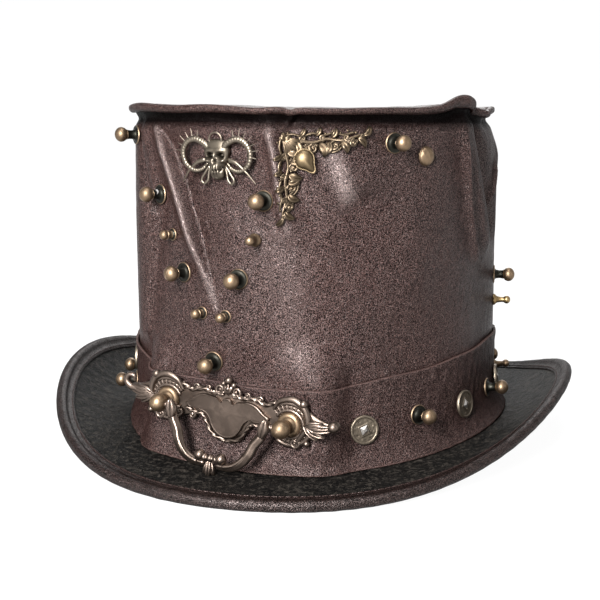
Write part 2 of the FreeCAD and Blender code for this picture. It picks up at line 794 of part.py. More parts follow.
def corner_boss():
    """Domed boss on the corner mount, in its angle."""
    turn, z = CORNER_TURN + BOSS_TURN, CORNER_Z - BOSS_DROP
    outset = CORNER_GAP + CORNER_THICKNESS
    here, normal = wall_frame(turn, z, outset)
    boss = spun([
        line(0, 0, BOSS_RADIUS, 0),
        arc(BOSS_RADIUS, 0, 2.6, 1.7, TIP_FLAT, 2.4),
        line(TIP_FLAT, 2.4, 0, 2.4),
    ])
    lift = seat_lift(turn, z, outset, BOSS_RADIUS)
    return placed(boss, plane_placement(here, normal, lift))


# ---- assembly ----------------------------------------------------------------------------------
def stepped_hole(outer, shank, inner, depth):
    """Tool for a shank hole, with room for a flange outside and for a head inside the hat."""
    floor = -depth + 0.1
    return spun([
        line(0, floor - 5, inner, floor - 5),
        line(inner, floor - 5, inner, floor),
        line(inner, floor, shank, floor),
        line(shank, floor, shank, -0.05),
        line(shank, -0.05, outer, -0.05),
        line(outer, -0.05, outer, 3),
        line(outer, 3, 0, 3),
    ])


class Fasteners:
    """Round hardware on the wall, the inner half of each, and the holes that they need."""

    def __init__(self):
        self.groups = {}
        self.holes = []

    def add(self, node, shape, place):
        self.groups.setdefault(node, []).append(placed(shape, place))

    def drill(self, place, flange, depth):
        self.holes.append(placed(stepped_hole(flange + 0.3, SHANK_HOLE, HEAD_HOLE, depth), place))

    def studs(self, node, shape, flange, places):
        for turn, z in places:
            place, depth = seat(turn, z, flange)
            self.add(node, shape, place)
            self.add(node + "_screws", screw(-depth), place)
            self.drill(place, flange, depth)

    def coins(self, places):
        for k, (turn, z) in enumerate(places):
            place, depth = seat(turn, z, COIN_RADIUS, 20 + 35 * k)
            self.add("coin_buttons", coin(), place)
            self.add("coin_brads", coin_brad(depth), place)
            self.drill(place, COIN_RADIUS, depth)

    def rivet(self, turn, z):
        place, depth = seat(turn, z, DOME_RADIUS)
        self.add("dome_rivet", dome_rivet(depth), place)
        self.add("dome_rivet_cap", rivet_cap(depth), place)
        self.drill(place, DOME_RADIUS, depth)


def drilled(sheet, holes):
    return sheet.cut([hole for hole in holes if sheet.BoundBox.intersect(hole.BoundBox)])


def build():
    rear_studs = [(turn, REAR_Z) for turn in REAR_STUD_TURNS]
    rear_coins = [(turn, REAR_Z) for turn in REAR_COIN_TURNS]
    hardware = Fasteners()
    hardware.studs("crown_ball_stud", ball_stud(*LARGE_STUD), LARGE_STUD[0], CROWN_BALL_STUDS)
    band_studs = BAND_BALL_STUDS + rear_studs
    hardware.studs("band_ball_stud", ball_stud(*LARGE_STUD), LARGE_STUD[0], band_studs)
    hardware.studs("small_stud", ball_stud(*SMALL_STUD), SMALL_STUD[0], SMALL_STUDS)
    hardware.studs("spool_stud", spool_stud(), SPOOL_BASE, SPOOL_STUDS)
    hardware.coins(COIN_BUTTONS + rear_coins)
    hardware.rivet(*DOME_RIVET)

    parts = {}
    pull = pull_placement()
    parts["pull_backplate"] = placed(backplate(), pull)
    nuts = []
    for side, word in ((-1, "left"), (1, "right")):
        parts["pull_post_" + word] = placed(pull_post(side), pull)
        nuts.append(placed(post_nut(side), pull))
        room = POST_HOLE_RADIUS + 0.05
        hole = stepped_hole(room, POST_HOLE_RADIUS, NUT_RADIUS + 0.4, -NUT_START)
        hole.translate(Vec(side * POST_HALF_SPACING, 0, 0))
        hardware.holes.append(placed(hole, pull))
    parts["pull_nuts"] = Part.makeCompound(nuts)
    parts["bail_handle"] = placed(bail_handle(), pull)
    parts["horned_charm"] = horned_charm()
    parts["corner_mount"] = corner_mount()
    parts["corner_boss"] = corner_boss()
    for node, shapes in hardware.groups.items():
        parts[node if len(shapes) == 1 or node.endswith("s") else node + "s"] = (
            shapes[0] if len(shapes) == 1 else Part.makeCompound(shapes)
        )

    for sheet in (crown_wall, crown_stiffener, lining_side, hat_band):
        parts[sheet.__name__] = drilled(sheet(), hardware.holes)
    parts["hat_band"] = parts["hat_band"].cut(placed(plate_press(), pull))
    plain = (
        lining_tip, tip_stiffener, tip_leather, tip_welt, sweatband,
        brim_board, brim_plush, brim_underside, brim_wire, brim_binding,
    )
    for piece in plain:
        parts[piece.__name__] = piece()
    return parts


def main():
    os.makedirs("parts", exist_ok=True)
    for name, shape in sorted(build().items()):
        state = "" if shape.isValid() and shape.Volume > 0 else "  NOT VALID"
        print(f"{name:28s} solids {len(shape.Solids):3d}  volume {shape.Volume:10.1f} mm3{state}")
        shape.exportStep(os.path.join("parts", name + ".step"))


main()
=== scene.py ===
"""Looks of the leather top hat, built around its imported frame.

Shapes are worked out in millimetres, in the frame of the CAD, and turned into metres when a mesh
is made. Places round the hat are an angle "turn" in degrees from the front, positive towards +X,
and a height z. Small hardware is built in a frame of its own: x right, y up, z out of the hat.
"""

import math

import bmesh
import bpy
import numpy as np
from mathutils import Matrix, Vector


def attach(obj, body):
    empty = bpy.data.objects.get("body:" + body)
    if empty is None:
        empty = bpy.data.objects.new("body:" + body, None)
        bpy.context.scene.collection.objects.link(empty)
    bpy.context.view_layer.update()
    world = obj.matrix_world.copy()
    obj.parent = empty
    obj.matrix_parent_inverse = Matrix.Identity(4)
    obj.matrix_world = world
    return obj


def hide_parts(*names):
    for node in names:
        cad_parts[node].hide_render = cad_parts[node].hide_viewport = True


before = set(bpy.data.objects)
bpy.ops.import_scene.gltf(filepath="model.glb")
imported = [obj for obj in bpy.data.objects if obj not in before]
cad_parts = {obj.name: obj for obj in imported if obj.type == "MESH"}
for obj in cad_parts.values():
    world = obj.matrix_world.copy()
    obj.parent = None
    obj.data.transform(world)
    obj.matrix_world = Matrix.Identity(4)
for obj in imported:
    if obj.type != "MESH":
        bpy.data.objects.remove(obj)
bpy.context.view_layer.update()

MM = 0.001

# ---- the hat's shape, as in the CAD -----------------------------------------------------------
CROWN_HALF_WIDTH = 89.0
CROWN_HALF_LENGTH = 103.0
CROWN_TOP = 160.0
ARC_PER_DEGREE = 1.62
BRIM_HALF_WIDTH = 128.3
BRIM_HALF_LENGTH = 148.0
BRIM_ROOT_MEAN = 5.1
BRIM_ROOT_RISE = 3.1
BRIM_ROOT_GAP = 0.35
BRIM_EDGE_MEAN = 13.5
BRIM_EDGE_RISE = 15.05
BRIM_EDGE_SHARPEN = 3.65
BRIM_CURL_POWER = 2.2
LEATHER = 1.2
STIFFENER = 1.2
LINING = 0.5
LAYER_GAP = 0.08
WALL_GAP = 0.2
LINING_GAP = 0.5
FOOT_FLARE = 7.4
FOOT_FLARE_FADE = 6.5
BAND_TOP_MEAN = 44.1
BAND_TOP_RISE = 4.7
SWEATBAND_HEIGHT = 38.0
SWEATBAND_INSET = 5.2
NUT_BULGE = 5.6
PLUSH = 0.6
BOARD = 1.0
UNDERSIDE = 0.5
BINDING = 0.75
BINDING_LEG = 9.0
PULL_TURN = -8.9
PULL_FACING = -10.4
PULL_Z = 28.2
PULL_TILT = 4.8
PLATE_SINK = 2.0
PLATE_STAND_OFF = 0.9
POST_OUT = 30.0

# Each fold is a segment from (turn, z) to (turn, z), with a half width and a height.
FOLDS = [
    (-20, 128, -6, 122, 13.0, -1.6),
    (3, 152, 9, 108, 5.5, 2.2),
    (13, 136, 21, 110, 6.0, 1.0),
    (-44, 147, -39, 112, 4.5, 2.0),
    (-39, 112, -44, 58, 4.5, 2.0),
    (-51, 147, -46, 112, 5.5, -3.6),
    (-46, 112, -51, 60, 5.5, -3.6),
    (62, 154, 77, 98, 6.0, 2.4),
    (70, 156, 85, 104, 5.5, -4.6),
    (84, 160, 104, 156, 14.0, -5.0),
    (42, 62, 74, 70, 16.0, -1.5),
    (150, 120, 170, 70, 15.0, -2.4),
    (-120, 130, -150, 80, 13.0, -2.6),
    (-100, 150, -128, 96, 6.0, 2.0),
    (125, 150, 140, 90, 6.0, 2.0),
]

# Sharper creases of the leather: a path of (turn, z), the crest's height and half width on its
# left, the drop on its right with that side's crest width, and how far the drop reaches.
CREASES = [
    (
        [(-39.5, 154), (-32, 139), (-27.8, 126), (-23.6, 112), (-19.7, 97.5), (-12.4, 71)],
        3.2, 4.6, 3.4, 1.5, 17.0,
    ),
    (
        [(-46, 48), (-42.4, 71), (-39.5, 95), (-37.8, 112), (-38.2, 125), (-42.5, 147)],
        1.2, 3.0, 3.0, 1.1, 11.0,
    ),
    ([(2.2, 150), (4.1, 140), (6.0, 120), (8.4, 104)], 1.7, 2.0, 0.7, 2.6, 6.0),
    ([(19.0, 146), (22.4, 132.6), (26.0, 116)], 2.7, 5.0, 0.0, 17.0, 17.0),
    ([(10.0, 157), (8.6, 152.5), (5.0, 147.5)], 0.7, 1.4, 0.9, 0.9, 3.0),
    ([(61, 153), (64.5, 126), (69, 98), (74, 84)], 2.2, 3.0, 1.8, 2.2, 7.0),
    ([(70.0, 156), (75.6, 126), (81, 97)], -6.0, 2.0, 0.4, 3.0, 6.0),
    ([(89, 139), (85, 116), (81.4, 98)], 1.8, 1.4, 1.6, 1.2, 5.0),
    ([(95, 150), (90, 120), (93, 88)], 0.9, 3.0, 0.8, 2.4, 6.0),
    ([(40, 122), (44, 104), (47, 66)], 0.5, 7.0, 0.3, 7.0, 16.0),
    ([(118, 152), (124, 120), (120, 76)], 1.0, 3.0, 1.2, 1.8, 8.0),
    ([(150, 150), (160, 118), (158, 70)], 1.1, 2.6, 1.3, 1.6, 9.0),
    ([(186, 146), (178, 110), (190, 66)], 0.9, 3.2, 1.0, 2.2, 9.0),
    ([(222, 150), (214, 116), (222, 72)], 1.2, 2.4, 1.2, 1.6, 8.0),
    ([(256, 152), (250, 126), (240, 88)], 1.0, 2.8, 1.2, 1.8, 8.0),
    ([(284, 146), (290, 118), (284, 80)], 0.8, 2.6, 1.0, 1.8, 7.0),
]

CROWN_BALL_STUDS = [
    (-56.0, 146.0), (-34.5, 120.3), (1.5, 119.6), (-24.6, 86.9), (-5.9, 86.1), (-14.4, 48.9),
    (36.9, 143.6), (95.0, 77.1),
]
REAR_Z = 25.5
BAND_BALL_STUDS = [(-60.0, 26.5), (45.1, 24.3), (79.0, 25.5)]
BAND_BALL_STUDS += [(turn, REAR_Z) for turn in (120, 152, 184, 216, 248, 280)]
SMALL_STUDS = [(-29.3, 103.0), (-17.8, 70.0), (-10.0, 69.5)]
SPOOL_STUDS = [(-1.0, 103.1), (95.0, 64.2), (104.0, 27.0)]
COIN_BUTTONS = [(28.5, 21.0), (63.2, 23.6), (92.0, 25.4), (-70.0, 34.0)]
COIN_BUTTONS += [(turn, REAR_Z) for turn in (136, 168, 200, 232, 264)]
DOME_RIVET = (47.0, 137.9)
CHARM = (-11.8, 138.0)
CORNER = (6.0, 146.4)
LARGE_FLANGE = 4.5
SMALL_FLANGE = 2.8
SPOOL_FLANGE = 2.7
DOME_RADIUS = 4.3
COIN_RADIUS = 6.4
BOSS = (CORNER[0] + 6.4, CORNER[1] - 9.4)
BOSS_RADIUS = 3.6


def sind(angle):
    return np.sin(np.radians(angle))


def cosd(angle):
    return np.cos(np.radians(angle))


def unit(vectors):
    return vectors / np.linalg.norm(vectors, axis=-1, keepdims=True)


def vec(x, y, z):
    return np.stack(np.broadcast_arrays(x, y, z), -1).astype(float)


def wrap(turn):
    return (turn + 180.0) % 360.0 - 180.0


def steps(count):
    """Even shares from 0 to 1."""
    return np.linspace(0, 1, count)


def bell(x, width):
    """1 at 0, falling to nothing a few widths away."""
    return np.exp(-((x / width) ** 2))


def hump(t, start=0.0, span=1.0):
    """Half a wave, of which t runs over the span from start."""
    return np.sin(math.pi * (start + span * t))


def fade(x, full, none):
    """1 up to full, falling smoothly to 0 at none."""
    share = np.clip((x - full) / (none - full), 0.0, 1.0)
    return 1 - share * share * (3 - 2 * share)


def outward(turn):
    """Level direction square to the crown's oval."""
    return unit(vec(sind(turn) / CROWN_HALF_WIDTH, -cosd(turn) / CROWN_HALF_LENGTH, 0.0))


def oval_point(turn, offset):
    base = vec(CROWN_HALF_WIDTH * sind(turn), -CROWN_HALF_LENGTH * cosd(turn), 0.0)
    return base + outward(turn) * np.asarray(offset, float)[..., None]


def fold_height(turn, z):
    total = np.zeros(np.broadcast(turn, z).shape)
    for turn0, z0, turn1, z1, width, height in FOLDS:
        along_s, along_z = (turn1 - turn0) * ARC_PER_DEGREE, z1 - z0
        s, dz = wrap(turn - turn0) * ARC_PER_DEGREE, z - z0
        share = np.clip((s * along_s + dz * along_z) / (along_s**2 + along_z**2), 0.0, 1.0)
        gap2 = (s - share * along_s) ** 2 + (dz - share * along_z) ** 2
        total = total + height * np.exp(-gap2 / width**2)
    return total


PULL_OUT = vec(sind(PULL_FACING), -cosd(PULL_FACING), 0.0)
PULL_MIDDLE = oval_point(PULL_TURN, LEATHER + 2 * LAYER_GAP - PLATE_SINK) + [0, 0, PULL_Z]


def plate_reach(turn):
    """Level distance from the pull's middle, along its plate."""
    there = oval_point(turn, LEATHER + 2 * LAYER_GAP)
    return np.abs(np.cross(there - PULL_MIDDLE, PULL_OUT)[..., 2])


def plate_push(turn, z):
    """How far the rigid plate of the pull flattens the leather behind it."""
    there = oval_point(turn, LEATHER + 2 * LAYER_GAP)
    facing = outward(turn) @ PULL_OUT
    short = ((PULL_MIDDLE - there) @ PULL_OUT) / np.where(facing < 0.2, 1.0, facing)
    push = short * fade(plate_reach(turn), 33, 52) * fade(np.abs(z - PULL_Z), 13, 34)
    return np.where((facing < 0.2) | (plate_reach(turn) > 60), 0.0, push)


def plain_offset(turn, z):
    """Wall's outer face in the CAD, out from the plain oval."""
    return fold_height(turn, z) + plate_push(turn, z)


def brim_middle(turn, share):
    root_z = BRIM_ROOT_MEAN - BRIM_ROOT_RISE * cosd(2 * turn)
    root = oval_point(turn, plain_offset(turn, root_z) - LEATHER + BRIM_ROOT_GAP)
    root[..., 2] = root_z
    edge_z = BRIM_EDGE_MEAN - BRIM_EDGE_RISE * cosd(2 * turn) + BRIM_EDGE_SHARPEN * cosd(4 * turn)
    edge = vec(BRIM_HALF_WIDTH * sind(turn), -BRIM_HALF_LENGTH * cosd(turn), edge_z)
    share = np.asarray(share, float)
    point = root + (edge - root) * share[..., None]
    point[..., 2] = root_z + (edge_z - root_z) * share**BRIM_CURL_POWER
    return point


def brim_point(turn, share, height):
    """Point so far across the brim, so far above its middle sheet."""
    low, high = np.clip(share - 0.01, 0, 1), np.clip(share + 0.01, 0, 1)
    across = unit(brim_middle(turn, high) - brim_middle(turn, low))
    around = brim_middle(turn + 0.5, share) - brim_middle(turn - 0.5, share)
    up = -unit(np.cross(around, across))
    return brim_middle(turn, share) + up * np.asarray(height, float)[..., None]


def brim_width(turn):
    return np.linalg.norm(brim_middle(turn, 1.0) - brim_middle(turn, 0.9), axis=-1) * 10


def edge_point(turn, inward, height):
    return brim_point(turn, 1 - inward / brim_width(turn), height)


TABLE_TURNS = np.linspace(-180, 180, 721)


def brim_top_table(share):
    return brim_point(TABLE_TURNS, np.full(721, share), BOARD / 2 + PLUSH)[:, 2]


FOOT_TABLE = brim_top_table(0.21) + 0.5
BAND_FOOT_TABLE = brim_top_table(0.24) + 0.6
ROOT_TABLE = brim_point(TABLE_TURNS, np.zeros(721), -BOARD / 2 - UNDERSIDE)[:, 2]


def from_table(table, turn):
    return np.interp(wrap(turn), TABLE_TURNS, table)


def flare(turn, z):
    held = 1 - 0.6 * bell(wrap(turn + 78), 30)
    return held * FOOT_FLARE * np.exp(-np.maximum(0.0, z - from_table(FOOT_TABLE, turn)) / FOOT_FLARE_FADE)


def band_top(turn):
    return BAND_TOP_MEAN - BAND_TOP_RISE * cosd(2 * turn)


# ---- how the leather is creased ---------------------------------------------------------------
def spline(points, count, closed=False):
    """Smooth line through the points."""
    points = np.asarray(points, float)
    if closed:
        ends = np.concatenate([points[-1:], points, points[:2]])
        spans = len(points)
    else:
        ends = np.concatenate([2 * points[:1] - points[1:2], points, 2 * points[-1:] - points[-2:-1]])
        spans = len(points) - 1
    at = np.linspace(0, spans, count, endpoint=not closed)
    k = np.minimum(at.astype(int), spans - 1)
    t = (at - k)[:, None]
    a, b, c, d = ends[k], ends[k + 1], ends[k + 2], ends[k + 3]
    return 0.5 * (2 * b + (c - a) * t + (2 * a - 5 * b + 4 * c - d) * t**2 + (3 * b - a - 3 * c + d) * t**3)


# Where the leather is glossier and its colour is lightened as a painted highlight: a path of (turn, z), a
# width in mm and a strength.
GLOSS_AND_SHEEN_PATHS = [
    ([(-37, 149), (-32, 139), (-27.8, 126), (-23.6, 112), (-19.7, 97.5), (-13.2, 73)], 1.5, 0.9),
    ([(19.6, 141), (21.4, 132), (23.6, 122)], 3.6, 1.0),
    ([(2.6, 148), (4.1, 140), (6.0, 120), (8.0, 106)], 1.6, 0.7),
    ([(7.5, 104), (8.6, 82), (10.0, 60)], 7.0, 0.18),
]


def crease_height(turn, z):
    total = np.zeros(np.broadcast(turn, z).shape)
    for path, crest, left, drop, right, reach in CREASES:
        line = spline(path, 22)
        s0, z0 = line[:, 0] * ARC_PER_DEGREE, line[:, 1]
        middle = line[:, 0].mean()
        s = (wrap(turn - middle) + middle) * ARC_PER_DEGREE
        best = np.full(total.shape, 1e9)
        signed = np.zeros(total.shape)
        along = np.zeros(total.shape)
        for k in range(len(line) - 1):
            ds, dz = s0[k + 1] - s0[k], z0[k + 1] - z0[k]
            length = math.hypot(ds, dz)
            raw = ((s - s0[k]) * ds + (z - z0[k]) * dz) / length**2
            share = np.clip(raw, 0.0, 1.0)
            gap = np.hypot(s - s0[k] - share * ds, z - z0[k] - share * dz)
            side = np.sign(-((s - s0[k]) * dz - (z - z0[k]) * ds))
            nearer = gap < best
            best = np.where(nearer, gap, best)
            signed = np.where(nearer, side * gap, signed)
            along = np.where(nearer, (k + share) / (len(line) - 1), along)
        ends = fade(-along, -0.22, 0.0) * fade(along, 0.72, 1.0)
        on_left = crest * bell(signed, left)
        on_right = (crest + drop) * bell(signed, right) - drop * bell(signed, reach)
        total = total + ends * np.where(signed < 0, on_left, on_right)
    return total


def waves(seed, count, rounds, per_mm):
    """Smooth waves round the hat: whole numbers of them, so that they join up."""
    rng = np.random.default_rng(seed)
    return [
        (int(rng.integers(*rounds)), rng.uniform(-per_mm, per_mm), rng.uniform(0, 2 * math.pi))
        for _ in range(count)
    ]


SLOW_WAVES = waves(3, 14, (3, 17), 0.07)
QUICK_WAVES = waves(8, 40, (40, 120), 0.75)


def wave_sum(kinds, turn, z):
    total = 0.0
    for rounds, rate, phase in kinds:
        total = total + np.cos(np.radians(rounds * turn) + rate * z + phase)
    return total / math.sqrt(len(kinds))


def hardware_mask(turn, z):
    """0 where hardware holds the leather to its plain shape, 1 away from it."""
    free = np.ones(np.broadcast(turn, z).shape)
    spots = [(t, h, LARGE_FLANGE) for t, h in CROWN_BALL_STUDS + BAND_BALL_STUDS]
    spots += [(t, h, SMALL_FLANGE) for t, h in SMALL_STUDS + SPOOL_STUDS]
    spots += [(t, h, COIN_RADIUS) for t, h in COIN_BUTTONS]
    spots += [(*DOME_RIVET, DOME_RADIUS)]
    for t, h, radius in spots:
        gap = np.hypot(wrap(turn - t) * ARC_PER_DEGREE, z - h)
        free = free * (1 - fade(gap, radius * 0.95, radius * 1.45))
    charm = np.hypot(wrap(turn - CHARM[0]) * ARC_PER_DEGREE / 1.9, z - CHARM[1])
    plate = np.hypot(plate_reach(turn) / 4.6, z - PULL_Z)
    plate = np.where(outward(turn) @ PULL_OUT < 0.2, 99.0, plate)
    return free * (1 - fade(charm, 8, 13)) * (1 - fade(plate, 9, 14))


def welt_lift(turn):
    """How the turned edge of the tip rises and falls round the hat."""
    peak = 4.4 * bell(wrap(turn - 60.5), 7.0)
    tuck = -2.6 * bell(wrap(turn - 79), 8.0)
    left = 0.7 * bell(wrap(turn + 47), 9.0)
    notch = -0.9 * bell(wrap(turn - 8.7), 1.3) + 0.5 * bell(wrap(turn - 5), 3.0)
    sag = -2.2 * bell(wrap(turn - 16), 34.0)
    return peak + tuck + left + notch + sag + 0.25 * wave_sum(SLOW_WAVES, turn, 40.0)


def soft_offset(turn, z):
    """How far the creased leather stands from its CAD shape."""
    low = 1 - fade(z - from_table(FOOT_TABLE, turn), 3, 20)
    groove = -1.7 * bell(z - 153.6 - 0.7 * welt_lift(turn), 2.3)
    slump = 0.32 * wave_sum(SLOW_WAVES, turn, z)
    return (crease_height(turn, z) + slump * low + groove) * hardware_mask(turn, z)


SOFT_TURNS = np.linspace(-180, 180, 1801)
SOFT_HEIGHTS = np.linspace(-4, 164, 505)
SOFT_TABLE = soft_offset(SOFT_TURNS[:, None], SOFT_HEIGHTS[None, :])


def soft_at(turn, z):
    turn, z = np.broadcast_arrays(wrap(np.asarray(turn, float)), np.asarray(z, float))
    a = (turn + 180) / 360 * (len(SOFT_TURNS) - 1)
    b = np.clip((z + 4) / 168, 0, 1) * (len(SOFT_HEIGHTS) - 1)
    i, j = np.minimum(a.astype(int), len(SOFT_TURNS) - 2), np.minimum(b.astype(int), len(SOFT_HEIGHTS) - 2)
    p, q = a - i, b - j
    low = SOFT_TABLE[i, j] * (1 - q) + SOFT_TABLE[i, j + 1] * q
    high = SOFT_TABLE[i + 1, j] * (1 - q) + SOFT_TABLE[i + 1, j + 1] * q
    return low * (1 - p) + high * p


def wall_point(turn, z, inset, flared=True, soft=True):
    turn, z = np.broadcast_arrays(np.asarray(turn, float), np.asarray(z, float))
    out = plain_offset(turn, z) - inset
    if flared:
        out = out + flare(turn, z)
    if soft:
        out = out + soft_at(turn, z)
    point = oval_point(turn, out)
    point[..., 2] = z
    return point


# ---- meshes --------------------------------------------------------------------------------------
class Shape:
    """Points and faces gathered into one mesh, in millimetres."""

    def __init__(self):
        self.points, self.faces, self.count = [], [], 0
        self.dark = set()

    def add(self, points, faces):
        points = np.asarray(points, float).reshape(-1, 3)
        for block in faces:
            self.faces.extend((np.asarray(block) + self.count).tolist())
        self.points.append(points)
        self.count += len(points)
        return self

    def put(self, other, axes=np.eye(3), origin=(0, 0, 0)):
        """Adds another shape, with its x, y and z along the rows of axes."""
        points = np.concatenate(other.points) @ np.asarray(axes) + np.asarray(origin)
        self.points.append(points)
        self.dark.update(k + len(self.faces) for k in other.dark)
        self.faces.extend([[k + self.count for k in face] for face in other.faces])
        self.count += len(points)
        return self

    def darkened(self, test):
        """Marks the faces whose middle passes the test, for the second material."""
        points = np.concatenate(self.points)
        self.dark.update(k for k, face in enumerate(self.faces) if test(points[face].mean(0)))
        return self

    def bent(self, move):
        self.points = [move(np.concatenate(self.points))]
        return self


def grid_faces(n, m, round_u=True, round_v=False):
    i, j = np.meshgrid(
        np.arange(n if round_u else n - 1), np.arange(m if round_v else m - 1), indexing="ij"
    )
    i2, j2 = (i + 1) % n, (j + 1) % m
    return np.stack([i * m + j, i2 * m + j, i2 * m + j2, i * m + j2], -1).reshape(-1, 4)


def fan(ring, tip):
    return np.stack([ring, np.roll(ring, -1), np.full(len(ring), tip)], -1)


def looped(net):
    """Closed surface of a net that joins up both ways."""
    return Shape().add(net, [grid_faces(*net.shape[:2], True, True)])


def shell(outer, inner):
    """Closed sheet between two nets that run round the hat."""
    return looped(np.concatenate([outer, inner[:, ::-1]], axis=1))


def rings(net):
    """Closed body from rings of points, with a point at each end."""
    count, sides = net.shape[:2]
    first, last = net[0].mean(0), net[-1].mean(0)
    points = np.concatenate([net.reshape(-1, 3), [first, last]])
    return Shape().add(points, [
        grid_faces(count, sides, False, True),
        fan(np.arange(sides), count * sides),
        fan((count - 1) * sides + np.arange(sides), count * sides + 1),
    ])


CAP_ANGLES = (72, 48, 24)


def tube(path, radius, sides=10, closed=False, flat=1.0, lobes=0, lobe=0.0, twist=0.0):
    """Round bar along a path. flat squashes it upright; lobes give it flutes or a twist."""
    path = np.asarray(path, float)
    radius = np.broadcast_to(np.asarray(radius, float), (len(path),)).copy()
    if closed:
        tangent = unit(np.roll(path, -1, 0) - np.roll(path, 1, 0))
    else:
        tangent = unit(np.gradient(path, axis=0))
        head = [(path[0] - tangent[0] * radius[0] * sind(a), radius[0] * cosd(a)) for a in CAP_ANGLES]
        tail = [(path[-1] + tangent[-1] * radius[-1] * sind(a), radius[-1] * cosd(a)) for a in CAP_ANGLES]
        path = np.concatenate([[p for p, _ in head], path, [p for p, _ in reversed(tail)]])
        tangent = np.concatenate([np.repeat(tangent[:1], 3, 0), tangent, np.repeat(tangent[-1:], 3, 0)])
        radius = np.concatenate([[r for _, r in head], radius, [r for _, r in reversed(tail)]])
    side = unit(np.cross(tangent, [0.0, 0.0, 1.0]))
    up = np.cross(side, tangent)
    angle = np.linspace(0, 2 * math.pi, sides, endpoint=False)
    along = np.arange(len(path))[:, None]
    swell = 1 + lobe * np.cos(lobes * angle[None, :] + twist * along)
    r = radius[:, None] * swell
    net = (
        path[:, None, :]
        + side[:, None, :] * (r * np.cos(angle))[..., None]
        + up[:, None, :] * (r * np.sin(angle) * flat)[..., None]
    )
    return looped(net) if closed else rings(net)


def lathe(profile, sides=36):
    """Turned body about z from (radius, height) pairs."""
    profile = np.asarray(profile, float)
    angle = np.linspace(0, 2 * math.pi, sides, endpoint=False)
    net = vec(
        profile[:, :1] * np.cos(angle), profile[:, :1] * np.sin(angle), profile[:, 1:] + 0 * angle
    )
    return rings(net)


def ball(centre, radius, squash=1.0, sides=20):
    """Cast ball, a little oblate and with a faint turned ring."""
    angle = np.linspace(-88, 88, 15)
    out = radius * cosd(angle) * (1 + 0.012 * cosd(9 * angle))
    up = radius * squash * sind(angle)
    return Shape().put(lathe(np.stack([out, up], -1), sides), np.eye(3), centre)


def leaf(path, width, thickness, sides=7, vein=0.3):
    """Cast leaf along a path: domed across, with a sunk vein and a flat back."""
    path = np.asarray(path, float)
    count = len(path)
    width = np.asarray(width, float) * np.ones(count)
    tangent = unit(np.gradient(path, axis=0))
    side = unit(np.cross(tangent, [0.0, 0.0, 1.0]))
    up = np.cross(side, tangent)
    across = np.linspace(-1, 1, sides)
    dome = thickness * (np.sqrt(np.maximum(0, 1 - across**2)) - vein * bell(across, 0.28))
    slim = np.minimum(1.0, width / (0.6 * width.max()))[:, None]
    front = (
        path[:, None, :] + side[:, None, :] * (width[:, None] * across)[..., None]
        + up[:, None, :] * (dome * slim)[..., None]
    )
    back = (
        path[:, None, :] + side[:, None, :] * (width[:, None] * across[::-1])[..., None]
        - up[:, None, :] * (0.25 * thickness * slim + 0 * across)[..., None]
    )
    return rings(np.concatenate([front, back[:, 1:-1]], axis=1))


def pillow(outline, rows, base=0.0):
    """Body over a flat outline. rows are (share of the outline, height) from its back edge inwards."""
    outline = np.asarray(outline, float)
    centre = outline.mean(0)
    net = np.stack([
        np.concatenate([centre + (outline - centre) * share, np.full((len(outline), 1), height)], 1)
        for share, height in [(0.5, base), *rows]
    ])
    return rings(net)


def spiral(centre, start_radius, end_radius, start, sweep, count=26):
    """Flat spiral: angles in degrees, in the xy plane."""
    t = steps(count)
    r = start_radius + (end_radius - start_radius) * t
    angle = start + sweep * t
    return vec(centre[0] + r * cosd(angle), centre[1] + r * sind(angle), centre[2] + 0 * t)


def taper(count, thick, thin, power=1.0):
    return thick + (thin - thick) * steps(count) ** power


def mirrored(half):
    """Outline from its right half, which starts and ends on the middle line."""
    half = [tuple(p) for p in half]
    return half + [(-x, y) for x, y in reversed(half[1:-1])]


def both_sides(shape):
    """The shape and its mirror image across x."""
    points = np.concatenate(shape.points)
    pair = Shape()
    pair.put(shape)
    pair.points.append(points * [-1, 1, 1])
    pair.faces.extend([[k + pair.count for k in reversed(face)] for face in shape.faces])
    pair.count += len(points)
    return pair


def piece(name, shape, node, material, crisp=None, second=None, body="root"):
    """Makes a shape into an object that stands for a CAD node. Edges sharper than crisp stay so."""
    mesh = bpy.data.meshes.new(name)
    points = np.concatenate(shape.points) * MM
    mesh.from_pydata(points.tolist(), [], shape.faces)
    work = bmesh.new()
    work.from_mesh(mesh)
    bmesh.ops.recalc_face_normals(work, faces=work.faces)
    work.to_mesh(mesh)
    work.free()
    mesh.polygons.foreach_set("use_smooth", [True] * len(mesh.polygons))
    if crisp is not None:
        mesh.set_sharp_from_angle(angle=math.radians(crisp))
    mesh.materials.append(material)
    if second is not None:
        mesh.materials.append(second)
        for k in shape.dark:
            mesh.polygons[k].material_index = 1
    thing = bpy.data.objects.new(name, mesh)
    bpy.context.scene.collection.objects.link(thing)
    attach(thing, body)
    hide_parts(node)
    return thing


